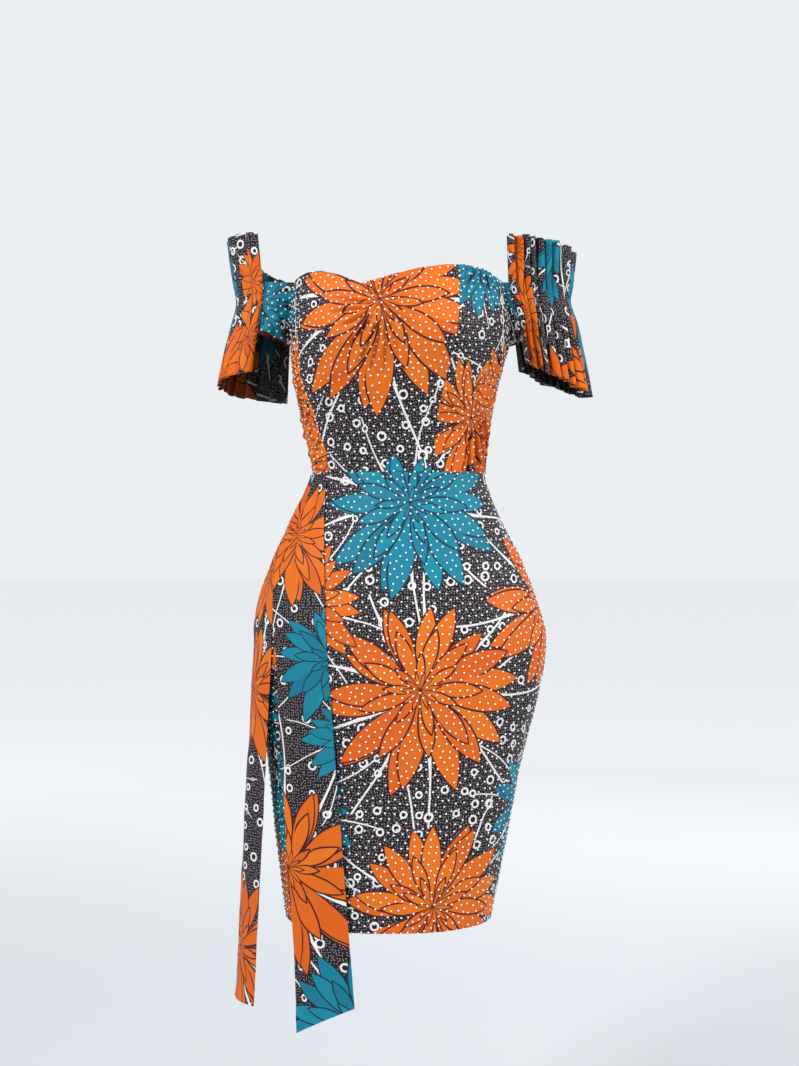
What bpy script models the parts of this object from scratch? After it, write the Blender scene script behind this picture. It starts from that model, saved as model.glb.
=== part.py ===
"""Off-shoulder fitted dress in wax print cotton: princess bodice, pencil skirt, sash tails, pleated sleeves.

Metres, +Z up.  The front faces -Y, +X is the wearer's left.  The origin is the centre of the waist
seam, where the wearer holds the dress up.  Every piece of cloth is a closed wall of its own.
"""
import bpy
import bmesh
from math import sin, cos, exp, pi, radians, degrees, copysign
from mathutils import Vector

# ---- driving dimensions -------------------------------------------------------------------------
CLOTH = 0.0012            # wall of one piece of cloth
SEAM_GAP = 0.0003         # space between two pieces where they are sewn
SQUARENESS = 2.25         # a body section is a superellipse of this power
CUP_DEPTH = 0.013         # how far the princess cups stand out
CUP_WIDTH = 0.052         # spread of a cup sideways
CUP_HEIGHT = 0.050        # spread of a cup up and down
CUPS = ((-0.088, 0.168), (0.064, 0.168))   # x and height of the two cup points

# sections of the worn dress: height, left side x, right side x, depth in front, depth behind
SECTIONS = (
    # z       left     right   front   back
    (-0.545, -0.1400, 0.1130, 0.0970, 0.1020),
    (-0.449, -0.1520, 0.1320, 0.0990, 0.1070),
    (-0.355, -0.1620, 0.1500, 0.1020, 0.1150),
    (-0.307, -0.1680, 0.1626, 0.1040, 0.1200),
    (-0.256, -0.1740, 0.1750, 0.1070, 0.1250),
    (-0.203, -0.1775, 0.1815, 0.1080, 0.1290),
    (-0.165, -0.1700, 0.1727, 0.1060, 0.1260),
    (-0.110, -0.1500, 0.1524, 0.0990, 0.1150),
    (-0.059, -0.1270, 0.1270, 0.0890, 0.1010),
    (-0.012, -0.1085, 0.1072, 0.0790, 0.0880),
    (0.012, -0.1095, 0.1070, 0.0790, 0.0870),
    (0.055, -0.1190, 0.1115, 0.0880, 0.0910),
    (0.112, -0.1305, 0.1225, 0.1060, 0.0990),
    (0.165, -0.1350, 0.1360, 0.1160, 0.1040),
    (0.215, -0.1345, 0.1330, 0.1080, 0.0990),
    (0.250, -0.1290, 0.1270, 0.0980, 0.0900),
)

# seams of the bodice: height, angle from the front towards +X
PRINCESS_LEFT = ((0.00, -50.0), (0.03, -50.5), (0.07, -55.0), (0.12, -64.0), (0.17, -64.0), (0.24, -60.0))
PRINCESS_RIGHT = ((0.00, 23.0), (0.03, 20.5), (0.07, 22.0), (0.12, 26.0), (0.17, 27.5), (0.24, 31.0))
SIDE_SEAM = 90.0
UPPER_EDGE_LOOK = 0.24    # height at which a panel's two upper corners are found

# neckline: angle from the front, height of the upper edge
NECKLINE = (
    (-180.0, 0.226), (-150.0, 0.226), (-125.0, 0.228), (-107.0, 0.231),
    (-73.0, 0.236), (-58.0, 0.240), (-43.0, 0.239), (-29.0, 0.232), (-16.0, 0.220),
    (-5.0, 0.228), (8.0, 0.239), (22.0, 0.244), (36.0, 0.246), (50.0, 0.242), (62.0, 0.237),
    (73.0, 0.234), (107.0, 0.231), (125.0, 0.228), (150.0, 0.226), (180.0, 0.226),
)

# armhole: share of the way from the underarm up to the neckline, angle off the side seam
UNDERARM = 0.150
ARMHOLE = ((0.0, 0.0), (0.25, 8.0), (0.5, 12.0), (0.75, 15.0), (1.0, 17.0))
ARMHOLE_GAP = 0.5         # angle between an armhole edge and the band sewn to it

HEM = -0.545
HIP = -0.203

# sash tails: height, angle of the front edge, angle of the back edge; below the hip they hang free
FRONT_TAIL = (
    (-0.200, -26.5, -54.5), (-0.150, -29.5, -59.5), (-0.100, -35.0, -68.5), (-0.060, -42.0, -78.5),
    (-0.030, -48.0, -87.0), (-0.002, -53.0, -94.0),
)
SIDE_TAIL = (
    (-0.200, -57.0, -91.0), (-0.150, -62.0, -97.0), (-0.100, -71.5, -107.0), (-0.060, -82.0, -120.0),
    (-0.030, -91.0, -131.0), (-0.002, -98.0, -140.0),
)
TAIL_STAND_OFF = 0.0028   # outer face of a tail over the skirt
TAIL_BELLY = 0.0110       # how far a tail stands off between the waist and the hip
# run of the free part for each metre down: sideways at the front edge and at the back edge, and
# forwards at the back edge
FRONT_TAIL_HANG = (0.078, 0.060, -0.045)
SIDE_TAIL_HANG = (-0.050, -0.054, 0.000)
FRONT_TAIL_ENDS = (-0.632, -0.664)   # height of the front corner and of the back corner
SIDE_TAIL_ENDS = (-0.640, -0.643)

# upper arm bands: centre of the arm, half widths across and front to back
ARM_X = {"left": -0.1680, "right": 0.1775}
ARM_HALF_WIDTH = 0.0310
ARM_HALF_DEPTH = 0.0410
BAND_ANGLES = (-12.0, 12.0, 36.0, 60.0, 90.0, 120.0, 144.0, 168.0, 192.0)
BAND_COLUMNS = 20
BAND_LOW = (0.158, 0.183)   # height of the band's lower edge at the armhole and round the arm
BAND_HIGH = 0.232           # height of its upper edge

# pleated panels: wide pleats on the left, fine ones on the right; share of the band where they start and end
PLEATS = {"left": 14, "right": 24}
PANEL_REACH = {"left": (0.185, 0.975), "right": (0.035, 0.950)}
PANEL_WALL = 0.0015
PLEAT_RISE = 0.80         # share of a pleat's width that its face takes
# sections of a panel, hem to top: height, pleat depth, out from the band, outward sway, drop at the
# outer arm, drop at the back.  They are stitched to the band at 0.211
PANEL_SECTIONS = {
    "left": (
        (0.122, 0.0056, 0.0110, 0.0120, 0.018, 0.032), (0.154, 0.0046, 0.0080, 0.0080, 0.010, 0.018),
        (0.188, 0.0032, 0.0045, 0.0030, 0.003, 0.006), (0.211, 0.0018, 0.0028, 0.0000, 0.000, 0.000),
        (0.234, 0.0028, 0.0034, 0.0020, 0.002, 0.006), (0.262, 0.0034, 0.0038, 0.0050, 0.006, 0.026),
        (0.292, 0.0040, 0.0040, 0.0080, 0.008, 0.050),
    ),
    "right": (
        (0.122, 0.0056, 0.0070, 0.0190, 0.028, 0.004), (0.154, 0.0046, 0.0065, 0.0110, 0.015, 0.002),
        (0.188, 0.0032, 0.0050, 0.0040, 0.004, 0.001), (0.211, 0.0018, 0.0028, 0.0000, 0.000, 0.000),
        (0.234, 0.0028, 0.0042, -0.0010, 0.003, 0.006), (0.262, 0.0034, 0.0050, -0.0020, 0.011, 0.026),
        (0.292, 0.0040, 0.0060, -0.0030, 0.020, 0.050),
    ),
}

# rows and columns of the walls
SKIRT_HEIGHTS = (HEM, -0.50, -0.449, -0.40, -0.355, -0.307, -0.256, HIP, -0.155, -0.11, -0.07, -0.035)
TAIL_HEIGHTS = (-0.200, -0.165, -0.130, -0.100, -0.075, -0.050, -0.028, -0.002)   # over the skirt
TAIL_FREE_SHARES = (0.0, 0.25, 0.5, 0.75)   # of the free part, from its end up
TAIL_COLUMNS = 5
BAND_ROWS = 5
BAND_CURVE_IN = 3.2       # the band's edges reach the arm within the inverse of this share


# ---- sections and surfaces ----------------------------------------------------------------------
def eased(table, height):
    """Row of a table at a height (first column), by a smooth curve through its rows."""
    rows = sorted(table)
    if height <= rows[0][0]:
        return rows[0][1:]
    if height >= rows[-1][0]:
        return rows[-1][1:]
    index = max(i for i, row in enumerate(rows) if row[0] <= height)
    before = rows[max(index - 1, 0)]
    low = rows[index]
    high = rows[index + 1]
    after = rows[min(index + 2, len(rows) - 1)]
    span = high[0] - low[0]
    t = (height - low[0]) / span
    values = []
    for column in range(1, len(low)):
        slope_low = (high[column] - before[column]) / (high[0] - before[0]) * span
        slope_high = (after[column] - low[column]) / (after[0] - low[0]) * span
        values.append(
            low[column] * (2 * t ** 3 - 3 * t ** 2 + 1) + high[column] * (3 * t ** 2 - 2 * t ** 3)
            + slope_low * (t ** 3 - 2 * t ** 2 + t) + slope_high * (t ** 3 - t ** 2)
        )
    return values


def straight(table, where):
    """Value of a two-column table at a place, by straight lines between its rows."""
    rows = sorted(table)
    for low, high in zip(rows, rows[1:]):
        if where <= high[0]:
            share = max(0.0, (where - low[0]) / (high[0] - low[0]))
            return low[1] + (high[1] - low[1]) * share
    return rows[-1][1]


def body_point(angle, height):
    """Point of the worn dress at an angle from the front (degrees, towards +X) and a height."""
    left, right, front, back = eased(SECTIONS, height)
    turn = radians(angle)
    across = copysign(abs(sin(turn)) ** (2 / SQUARENESS), sin(turn))
    ahead = copysign(abs(cos(turn)) ** (2 / SQUARENESS), cos(turn))
    middle = (left + right) / 2
    x = middle + across * (right - left) / 2
    y = -ahead * (front if ahead > 0 else back)
    if ahead > 0:
        for cup_x, cup_z in CUPS:
            away = ((x - cup_x) / CUP_WIDTH) ** 2 + ((height - cup_z) / CUP_HEIGHT) ** 2
            y -= CUP_DEPTH * min(1.0, ahead * 2) * exp(-away)
    return Vector((x, y, height))


def body_normal(angle, height):
    """Outward direction of the worn dress there."""
    along = body_point(angle + 0.5, height) - body_point(angle - 0.5, height)
    up = body_point(angle, height + 0.002) - body_point(angle, height - 0.002)
    return along.cross(up).normalized()


def spline_point(points, share):
    """Point at a share of the way along a smooth curve through points."""
    lengths = [0.0]
    for one, other in zip(points, points[1:]):
        lengths.append(lengths[-1] + (other - one).length)
    target = share * lengths[-1]
    index = min(max(i for i, length in enumerate(lengths) if length <= target + 1e-12), len(points) - 2)
    t = (target - lengths[index]) / (lengths[index + 1] - lengths[index])
    p1 = points[index]
    p2 = points[index + 1]
    p0 = points[index - 1] if index > 0 else p1 * 2 - p2
    p3 = points[index + 2] if index + 2 < len(points) else p2 * 2 - p1
    return 0.5 * (
        p1 * 2 + (p2 - p0) * t + (p0 * 2 - p1 * 5 + p2 * 4 - p3) * t ** 2
        + (p1 * 3 - p0 - p2 * 3 + p3) * t ** 3
    )


# ---- making a wall of cloth -----------------------------------------------------------------------
def material(name, colour, roughness):
    """Plain cotton material."""
    made = bpy.data.materials.new(name)
    made.use_nodes = True
    shader = made.node_tree.nodes["Principled BSDF"]
    shader.inputs["Base Color"].default_value = (*colour, 1.0)
    shader.inputs["Roughness"].default_value = roughness
    shader.inputs["Metallic"].default_value = 0.0
    return made


def wall(name, outer, inner, cloth):
    """Closed wall between two grids of points (rows of equal length), outer face to the outside."""
    mesh = bmesh.new()
    front = [[mesh.verts.new(point) for point in row] for row in outer]
    rear = [[mesh.verts.new(point) for point in row] for row in inner]
    rows = len(outer)
    columns = len(outer[0])
    for r in range(rows - 1):
        for c in range(columns - 1):
            mesh.faces.new((front[r][c], front[r][c + 1], front[r + 1][c + 1], front[r + 1][c]))
            mesh.faces.new((rear[r][c], rear[r + 1][c], rear[r + 1][c + 1], rear[r][c + 1]))
    for r in range(rows - 1):
        mesh.faces.new((front[r][0], front[r + 1][0], rear[r + 1][0], rear[r][0]))
        mesh.faces.new((front[r][-1], rear[r][-1], rear[r + 1][-1], front[r + 1][-1]))
    for c in range(columns - 1):
        mesh.faces.new((front[0][c], rear[0][c], rear[0][c + 1], front[0][c + 1]))
        mesh.faces.new((front[-1][c], front[-1][c + 1], rear[-1][c + 1], rear[-1][c]))
    bmesh.ops.recalc_face_normals(mesh, faces=mesh.faces)
    bmesh.ops.triangulate(mesh, faces=mesh.faces)
    data = bpy.data.meshes.new(name)
    mesh.to_mesh(data)
    mesh.free()
    piece = bpy.data.objects.new(name, data)
    piece.data.materials.append(cloth)
    bpy.context.scene.collection.objects.link(piece)
    data.shade_smooth()
    data.set_sharp_from_angle(angle=radians(40))
    return piece


def body_wall(name, spots, cloth, stand_off=0.0):
    """Wall whose outer face lies at spots (angle, height) on the worn dress, moved out a little."""
    outer = []
    inner = []
    for row in spots:
        outer.append([body_point(a, z) + body_normal(a, z) * stand_off for a, z in row])
        inner.append([body_point(a, z) + body_normal(a, z) * (stand_off - CLOTH) for a, z in row])
    return wall(name, outer, inner, cloth)


def angle_gap(height):
    """Half a seam gap as an angle on the section at a height."""
    left, right, front, back = eased(SECTIONS, height)
    return degrees(SEAM_GAP / 2 / min(right, front, back))


# ---- bodice and skirt -----------------------------------------------------------------------------
def princess_left(height, armhole_share):
    """Angle of the seam over the right cup."""
    return straight(PRINCESS_LEFT, height)


def princess_right(height, armhole_share):
    """Angle of the seam over the left cup."""
    return straight(PRINCESS_RIGHT, height)


def fixed(angle):
    """A seam that keeps one angle all the way up."""
    return lambda height, armhole_share: angle


def side_edge(sign, towards):
    """Side seam up to the underarm, then the armhole edge: towards -1 is the front, 1 the back."""
    return lambda height, armhole_share: sign * (SIDE_SEAM + towards * straight(ARMHOLE, armhole_share))


def bodice_panel(name, left_edge, right_edge, columns, cloth):
    """Panel from the waist seam up to the neckline, between two edges."""
    below = 5
    above = 4
    top_left = left_edge(UPPER_EDGE_LOOK, 1.0)
    top_right = right_edge(UPPER_EDGE_LOOK, 1.0)
    spots = []
    for r in range(below + above + 1):
        armhole_share = max(0.0, (r - below) / above)
        row = []
        for c in range(columns + 1):
            across = c / columns
            top = straight(NECKLINE, top_left + (top_right - top_left) * across)
            if r <= below:
                height = SEAM_GAP / 2 + (UNDERARM - SEAM_GAP / 2) * r / below
            else:
                height = UNDERARM + (top - UNDERARM) * armhole_share
            gap = angle_gap(height)
            start = left_edge(height, armhole_share) + gap
            end = right_edge(height, armhole_share) - gap
            row.append((start + (end - start) * across, height))
        spots.append(row)
    return body_wall(name, spots, cloth)


def make_bodice(cloth):
    """Centre front, two side fronts and two backs."""
    bodice_panel("bodice_front_centre", princess_left, princess_right, 16, cloth)
    bodice_panel("bodice_side_front_left", side_edge(-1, -1), princess_left, 6, cloth)
    bodice_panel("bodice_side_front_right", princess_right, side_edge(1, -1), 9, cloth)
    bodice_panel("bodice_back_left", fixed(-180.0), side_edge(-1, 1), 9, cloth)
    bodice_panel("bodice_back_right", side_edge(1, 1), fixed(180.0), 9, cloth)


def skirt_panel(name, start, end, columns, cloth):
    """Panel from the hem up to the waist seam between two side angles."""
    spots = []
    for height in (*SKIRT_HEIGHTS, -SEAM_GAP / 2):
        gap = angle_gap(height)
        first = start + gap
        last = end - gap
        spots.append([(first + (last - first) * c / columns, height) for c in range(columns + 1)])
    return body_wall(name, spots, cloth)


def make_skirt(cloth):
    """One front and two backs that meet in a centre back seam."""
    skirt_panel("skirt_front", -SIDE_SEAM, SIDE_SEAM, 20, cloth)
    skirt_panel("skirt_back_left", -180.0, -SIDE_SEAM, 9, cloth)
    skirt_panel("skirt_back_right", SIDE_SEAM, 180.0, 9, cloth)


# ---- sash tails -----------------------------------------------------------------------------------
def tail_point(table, across, height, hang):
    """Outer face of a tail and its outward direction: over the skirt to the hip, then hanging free."""
    resting = max(height, HIP)
    front_edge, back_edge = eased(table, resting)
    angle = front_edge + (back_edge - front_edge) * across
    outward = body_normal(angle, resting)
    belly = TAIL_BELLY * sin(pi * resting / HIP) * across
    point = body_point(angle, resting) + outward * (TAIL_STAND_OFF + belly)
    below = resting - height
    sway = hang[0] + (hang[1] - hang[0]) * across
    moved = Vector((point.x + sway * below, point.y + hang[2] * across * below, height))
    return moved, outward


def make_tail(name, table, hang, ends, cloth):
    """One flat sash tail sewn into the waist seam."""
    outer = []
    inner = []
    rows = [(share, None) for share in TAIL_FREE_SHARES] + [(None, height) for height in TAIL_HEIGHTS]
    for share, fixed_height in rows:
        outer_row = []
        inner_row = []
        for c in range(TAIL_COLUMNS + 1):
            across = 1.0 - c / TAIL_COLUMNS
            end = ends[0] + (ends[1] - ends[0]) * across
            height = fixed_height if share is None else end + (TAIL_HEIGHTS[0] - end) * share
            point, outward = tail_point(table, across, height, hang)
            outer_row.append(point)
            inner_row.append(point - outward * CLOTH)
        outer.append(outer_row)
        inner.append(inner_row)
    return wall(name, outer, inner, cloth)


def make_tails(cloth):
    """The two tails at the wearer's right hip."""
    make_tail("sash_tail_front", FRONT_TAIL, FRONT_TAIL_HANG, FRONT_TAIL_ENDS, cloth)
    make_tail("sash_tail_side", SIDE_TAIL, SIDE_TAIL_HANG, SIDE_TAIL_ENDS, cloth)


# ---- sleeves --------------------------------------------------------------------------------------
def armhole_corner(side, front, height):
    """Point just off the bodice's armhole edge, where the band is sewn on."""
    sign = -1.0 if side == "left" else 1.0
    towards = -1.0 if front else 1.0
    top = straight(NECKLINE, sign * (SIDE_SEAM + towards * ARMHOLE[-1][1]))
    share = max(0.0, (height - UNDERARM) / (top - UNDERARM))
    angle = SIDE_SEAM + towards * (straight(ARMHOLE, share) - ARMHOLE_GAP)
    return body_point(sign * angle, height)


def band_curve(side, height):
    """Plan of a sleeve band: from the front of the armhole round the arm to the back of it."""
    sign = -1.0 if side == "left" else 1.0
    points = [armhole_corner(side, True, height)]
    for angle in BAND_ANGLES:
        x = ARM_X[side] + sign * ARM_HALF_WIDTH * sin(radians(angle))
        points.append(Vector((x, -ARM_HALF_DEPTH * cos(radians(angle)), height)))
    points.append(armhole_corner(side, False, height))
    return points


def band_point(side, share, height):
    """Point of a band's outer face and its outward direction."""
    points = band_curve(side, height)
    here = spline_point(points, share)
    along = spline_point(points, min(share + 0.01, 1.0)) - spline_point(points, max(share - 0.01, 0.0))
    sign = -1.0 if side == "left" else 1.0
    return here, Vector((along.y * sign, -along.x * sign, 0.0)).normalized()


def make_band(side, cloth):
    """Sleeve band round the upper arm, open at its top and bottom."""
    outer = []
    inner = []
    for r in range(BAND_ROWS + 1):
        up = r / BAND_ROWS
        outer_row = []
        inner_row = []
        for c in range(BAND_COLUMNS + 1):
            share = c / BAND_COLUMNS
            round_arm = min(1.0, BAND_CURVE_IN * min(share, 1.0 - share))
            low = BAND_LOW[0] + (BAND_LOW[1] - BAND_LOW[0]) * round_arm
            height = low + (BAND_HIGH - low) * up
            point, outward = band_point(side, share, height)
            outer_row.append(point)
            inner_row.append(point - outward * CLOTH)
        outer.append(outer_row)
        inner.append(inner_row)
    return wall("sleeve_band_" + side, outer, inner, cloth)


def make_panel(side, cloth):
    """Knife-pleated panel stitched across the band: it stands up above and flares below."""
    start, end = PANEL_REACH[side]
    sign = -1.0 if side == "left" else 1.0
    outer = []
    inner = []
    pleats = PLEATS[side]
    for z, depth, out, sway, outer_drop, back_drop in PANEL_SECTIONS[side]:
        outer_row = []
        inner_row = []
        for c in range(pleats * 2 + 1):
            share = (c // 2 + (c % 2) * PLEAT_RISE) / pleats
            low = straight(((0.0, 0.0), (0.5, outer_drop), (1.0, back_drop)), share)
            beside = min(max(z, BAND_LOW[1]), BAND_HIGH)
            point, outward = band_point(side, start + (end - start) * share, beside)
            fold = depth * (c % 2)
            moved = Vector((point.x + sign * sway, point.y, z - low)) + outward * (out + fold)
            outer_row.append(moved)
            inner_row.append(moved - outward * PANEL_WALL)
        outer.append(outer_row)
        inner.append(inner_row)
    return wall("sleeve_pleats_" + side, outer, inner, cloth)


def main():
    """Clear the scene and make every piece of the dress."""
    for thing in list(bpy.data.objects):
        bpy.data.objects.remove(thing, do_unlink=True)
    body_cloth = material("wax_print_cotton_body", (0.80, 0.17, 0.02), 0.75)
    tail_cloth = material("wax_print_cotton_tails", (0.02, 0.34, 0.45), 0.75)
    sleeve_cloth = material("wax_print_cotton_sleeves", (0.03, 0.02, 0.03), 0.75)
    make_bodice(body_cloth)
    make_skirt(body_cloth)
    make_tails(tail_cloth)
    for side in ("left", "right"):
        make_band(side, sleeve_cloth)
        make_panel(side, sleeve_cloth)


main()
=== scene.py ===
"""Looks of the off-shoulder wax print dress: cloth panels, printed flowers, beads, pleats and the stage.

Laid out as an add-on and run as a script.  Metres, +Z up, the front faces -Y.  "left" and "right" are
those of someone looking at the front.
"""
from math import atan, atan2, hypot, pi, tau

import bmesh
import bpy
import numpy as np
from bpy.props import FloatProperty, FloatVectorProperty, IntProperty, PointerProperty
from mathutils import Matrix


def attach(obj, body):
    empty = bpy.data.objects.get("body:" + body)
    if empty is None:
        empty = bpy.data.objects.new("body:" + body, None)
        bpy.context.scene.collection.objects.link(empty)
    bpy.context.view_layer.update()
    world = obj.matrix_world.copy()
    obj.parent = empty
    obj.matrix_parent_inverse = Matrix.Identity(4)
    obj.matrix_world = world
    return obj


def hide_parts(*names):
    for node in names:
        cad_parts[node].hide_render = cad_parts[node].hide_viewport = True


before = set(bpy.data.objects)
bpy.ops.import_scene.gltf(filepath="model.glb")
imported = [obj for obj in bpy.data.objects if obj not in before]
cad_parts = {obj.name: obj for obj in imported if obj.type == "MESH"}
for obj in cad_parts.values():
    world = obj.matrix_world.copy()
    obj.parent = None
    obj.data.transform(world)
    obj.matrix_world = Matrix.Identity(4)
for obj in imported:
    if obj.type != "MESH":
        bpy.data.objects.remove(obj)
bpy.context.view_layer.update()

bl_info = {
    "name": "Wax print dress",
    "version": (1, 0, 0),
    "blender": (4, 5, 0),
    "location": "3D View > Sidebar > Dress",
    "description": "Makes an off-shoulder wax print dress around its solids",
    "category": "Object",
}

BODY = "root"

# ---- form of the worn dress, the same sections as its solids ----------------------------------------
SQUARENESS = 2.25
CUP_DEPTH = 0.013
CUP_WIDTH = 0.052
CUP_HEIGHT = 0.050
CUPS = ((-0.088, 0.168), (0.064, 0.168))
SECTIONS = np.array((
    # z       left     right   front   back
    (-0.545, -0.1400, 0.1130, 0.0970, 0.1020),
    (-0.449, -0.1520, 0.1320, 0.0990, 0.1070),
    (-0.355, -0.1620, 0.1500, 0.1020, 0.1150),
    (-0.307, -0.1680, 0.1626, 0.1040, 0.1200),
    (-0.256, -0.1740, 0.1750, 0.1070, 0.1250),
    (-0.203, -0.1775, 0.1815, 0.1080, 0.1290),
    (-0.165, -0.1700, 0.1727, 0.1060, 0.1260),
    (-0.110, -0.1500, 0.1524, 0.0990, 0.1150),
    (-0.059, -0.1270, 0.1270, 0.0890, 0.1010),
    (-0.012, -0.1085, 0.1072, 0.0790, 0.0880),
    (0.012, -0.1095, 0.1070, 0.0790, 0.0870),
    (0.055, -0.1190, 0.1115, 0.0880, 0.0910),
    (0.112, -0.1305, 0.1225, 0.1060, 0.0990),
    (0.165, -0.1350, 0.1360, 0.1160, 0.1040),
    (0.215, -0.1345, 0.1330, 0.1080, 0.0990),
    (0.250, -0.1290, 0.1270, 0.0980, 0.0900),
))
PRINCESS_LEFT = ((0.00, -50.0), (0.03, -50.5), (0.07, -55.0), (0.12, -64.0), (0.17, -64.0), (0.24, -60.0))
PRINCESS_RIGHT = ((0.00, 23.0), (0.03, 20.5), (0.07, 22.0), (0.12, 26.0), (0.17, 27.5), (0.24, 31.0))
SIDE_SEAM = 90.0
NECKLINE = (
    (-180.0, 0.226), (-150.0, 0.226), (-125.0, 0.228), (-107.0, 0.231),
    (-73.0, 0.236), (-58.0, 0.240), (-43.0, 0.239), (-29.0, 0.232), (-16.0, 0.220),
    (-5.0, 0.228), (8.0, 0.239), (22.0, 0.244), (36.0, 0.246), (50.0, 0.242), (62.0, 0.237),
    (73.0, 0.234), (107.0, 0.231), (125.0, 0.228), (150.0, 0.226), (180.0, 0.226),
)
UNDERARM = 0.150
ARMHOLE = ((0.0, 0.0), (0.25, 8.0), (0.5, 12.0), (0.75, 15.0), (1.0, 17.0))
HEM = -0.545
HIP = -0.203
PRINCESS_TOP = 0.24       # usual heights of the bodice's upper edge, at the princess seams and all round
BODICE_TOP = 0.236

# rolled edge of a panel at its seams: reach of its closer points, depth at the sides and ends, softness
EDGE_REACH = 0.0020
SIDE_ROLL = 0.0009
END_ROLL = 0.0008
EDGE_SOFTNESS = 0.0013

# sash tails: height, angle of the front edge, angle of the back edge over the skirt
FRONT_TAIL = np.array((
    (-0.200, -26.5, -54.5), (-0.150, -29.5, -59.5), (-0.100, -35.0, -68.5), (-0.060, -42.0, -78.5),
    (-0.030, -48.0, -87.0), (-0.002, -53.0, -94.0),
))
SIDE_TAIL = np.array((
    (-0.200, -57.0, -91.0), (-0.150, -62.0, -97.0), (-0.100, -71.5, -107.0), (-0.060, -82.0, -120.0),
    (-0.030, -91.0, -131.0), (-0.002, -98.0, -140.0),
))
TAIL_WIDTH = 0.072
TAIL_LENGTH = 0.65
TAIL_TOP = -0.0015
TAIL_STAND_OFF = 0.0024
TAIL_BELLY = 0.0110
# below the hips, for each metre down: how far the front edge and the back edge go to the right, and how
# far the back edge goes to the rear
FRONT_TAIL_HANG = (0.078, 0.060, -0.045)
SIDE_TAIL_HANG = (-0.050, -0.054, 0.000)
# heights of the lower end at the front edge and at the back edge
FRONT_TAIL_ENDS = (-0.632, -0.664)
SIDE_TAIL_ENDS = (-0.640, -0.643)

# arm bands and pleated panels
ARM_X = {"left": -0.1680, "right": 0.1775}
ARM_HALF_WIDTH = 0.0310
ARM_HALF_DEPTH = 0.0410
# angles round the arm at which a band is given: 0 at the front, 90 outwards, 180 at the back
BAND_ANGLES = (-12.0, 12.0, 36.0, 60.0, 90.0, 120.0, 144.0, 168.0, 192.0)
BAND_LOW = (0.158, 0.183)  # at the armhole, and over the arm
BAND_HIGH = 0.232
BAND_MIDDLE = 0.21
BAND_LENGTH = 0.2
BAND_DEEP = 0.07
BAND_RUN_IN = 3.2         # the lower edge has risen by 1 / 3.2 of the way along, from both ends
BAND_SINK = 0.0003
PANEL_REACH = {"left": (0.185, 0.975), "right": (0.035, 0.950)}
# puff of the band where the pleats don't cover it: shares along the band, height in metres
PUFF_MIDDLE = {"left": 0.10, "right": 0.017}
PUFF_REACH = {"left": 0.085, "right": 0.017}
PUFF_HEIGHT = {"left": 0.0075, "right": 0.0010}
PANEL_LOW = 0.122
PANEL_FLARE = 0.188       # below this height a panel flares
PLEAT_LINE = 0.211        # the panels are stitched to the bands here
LOOSE_REACH = 0.07        # this far from the stitches a pleat hangs free
PANEL_ROWS = (
    # from, to, rows: closer at the stitched line
    (0.122, 0.205, 26), (0.208, 0.216, 5), (0.220, 0.292, 22),
)
PRINT_ROW = 8             # row along which the print's cloth is measured
END_RISE = {"left": 0.0, "right": 0.014}    # the hem is this much higher at both ends of a panel
END_SLOPE = 1.67
PLEAT_SEED = 7
PLEAT_SINK = 0.0007
DEEPER_INWARD = 0.7       # share of a deeper pleat's extra depth that goes inwards
WIDE_PLEAT_DEPTH = 1.1    # times as deep as on the solid, in the left panel
PLEAT_BOLDNESS = (0.75, 1.3)          # least and most depth of a loose pleat, times the usual one
RAGGED_HEM = (-0.0022, 0.0018)        # how far a pleat's ends are off the hem's line
PLEAT_WANDER = 0.16       # share of its pitch that a loose fold wanders to each side
PLEAT_WAVE = 40.0         # radians of that for each metre down
PANEL_SECTIONS = {
    # height, pleat depth, out, outward sway, drop at the outer arm, drop at the back
    "left": np.array((
        (0.122, 0.0052, 0.0110, 0.0120, 0.018, 0.032), (0.154, 0.0042, 0.0080, 0.0080, 0.010, 0.018),
        (0.188, 0.0026, 0.0045, 0.0030, 0.003, 0.006), (0.211, 0.0013, 0.0028, 0.0000, 0.000, 0.000),
        (0.234, 0.0024, 0.0034, 0.0020, 0.002, 0.006), (0.262, 0.0032, 0.0038, 0.0050, 0.006, 0.026),
        (0.292, 0.0038, 0.0040, 0.0080, 0.008, 0.050),
    )),
    "right": np.array((
        (0.122, 0.0052, 0.0070, 0.0130, 0.028, 0.004), (0.154, 0.0042, 0.0065, 0.0080, 0.015, 0.002),
        (0.188, 0.0026, 0.0050, 0.0040, 0.004, 0.001), (0.211, 0.0013, 0.0028, 0.0000, 0.000, 0.000),
        (0.234, 0.0024, 0.0042, -0.0010, 0.003, 0.006), (0.262, 0.0032, 0.0050, -0.0020, 0.011, 0.026),
        (0.292, 0.0038, 0.0060, -0.0030, 0.020, 0.050),
    )),
}

# one knife pleat in plan: share of its pitch along the band, share of its depth outwards
KNIFE_PLEAT = (
    (0.00, 0.08), (0.22, 0.34), (0.50, 0.66), (0.80, 0.92), (1.04, 1.00),
    (1.12, 0.90), (1.04, 0.72), (0.94, 0.40),
)
LAST_FOLD = (1.00, 0.08)

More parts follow.
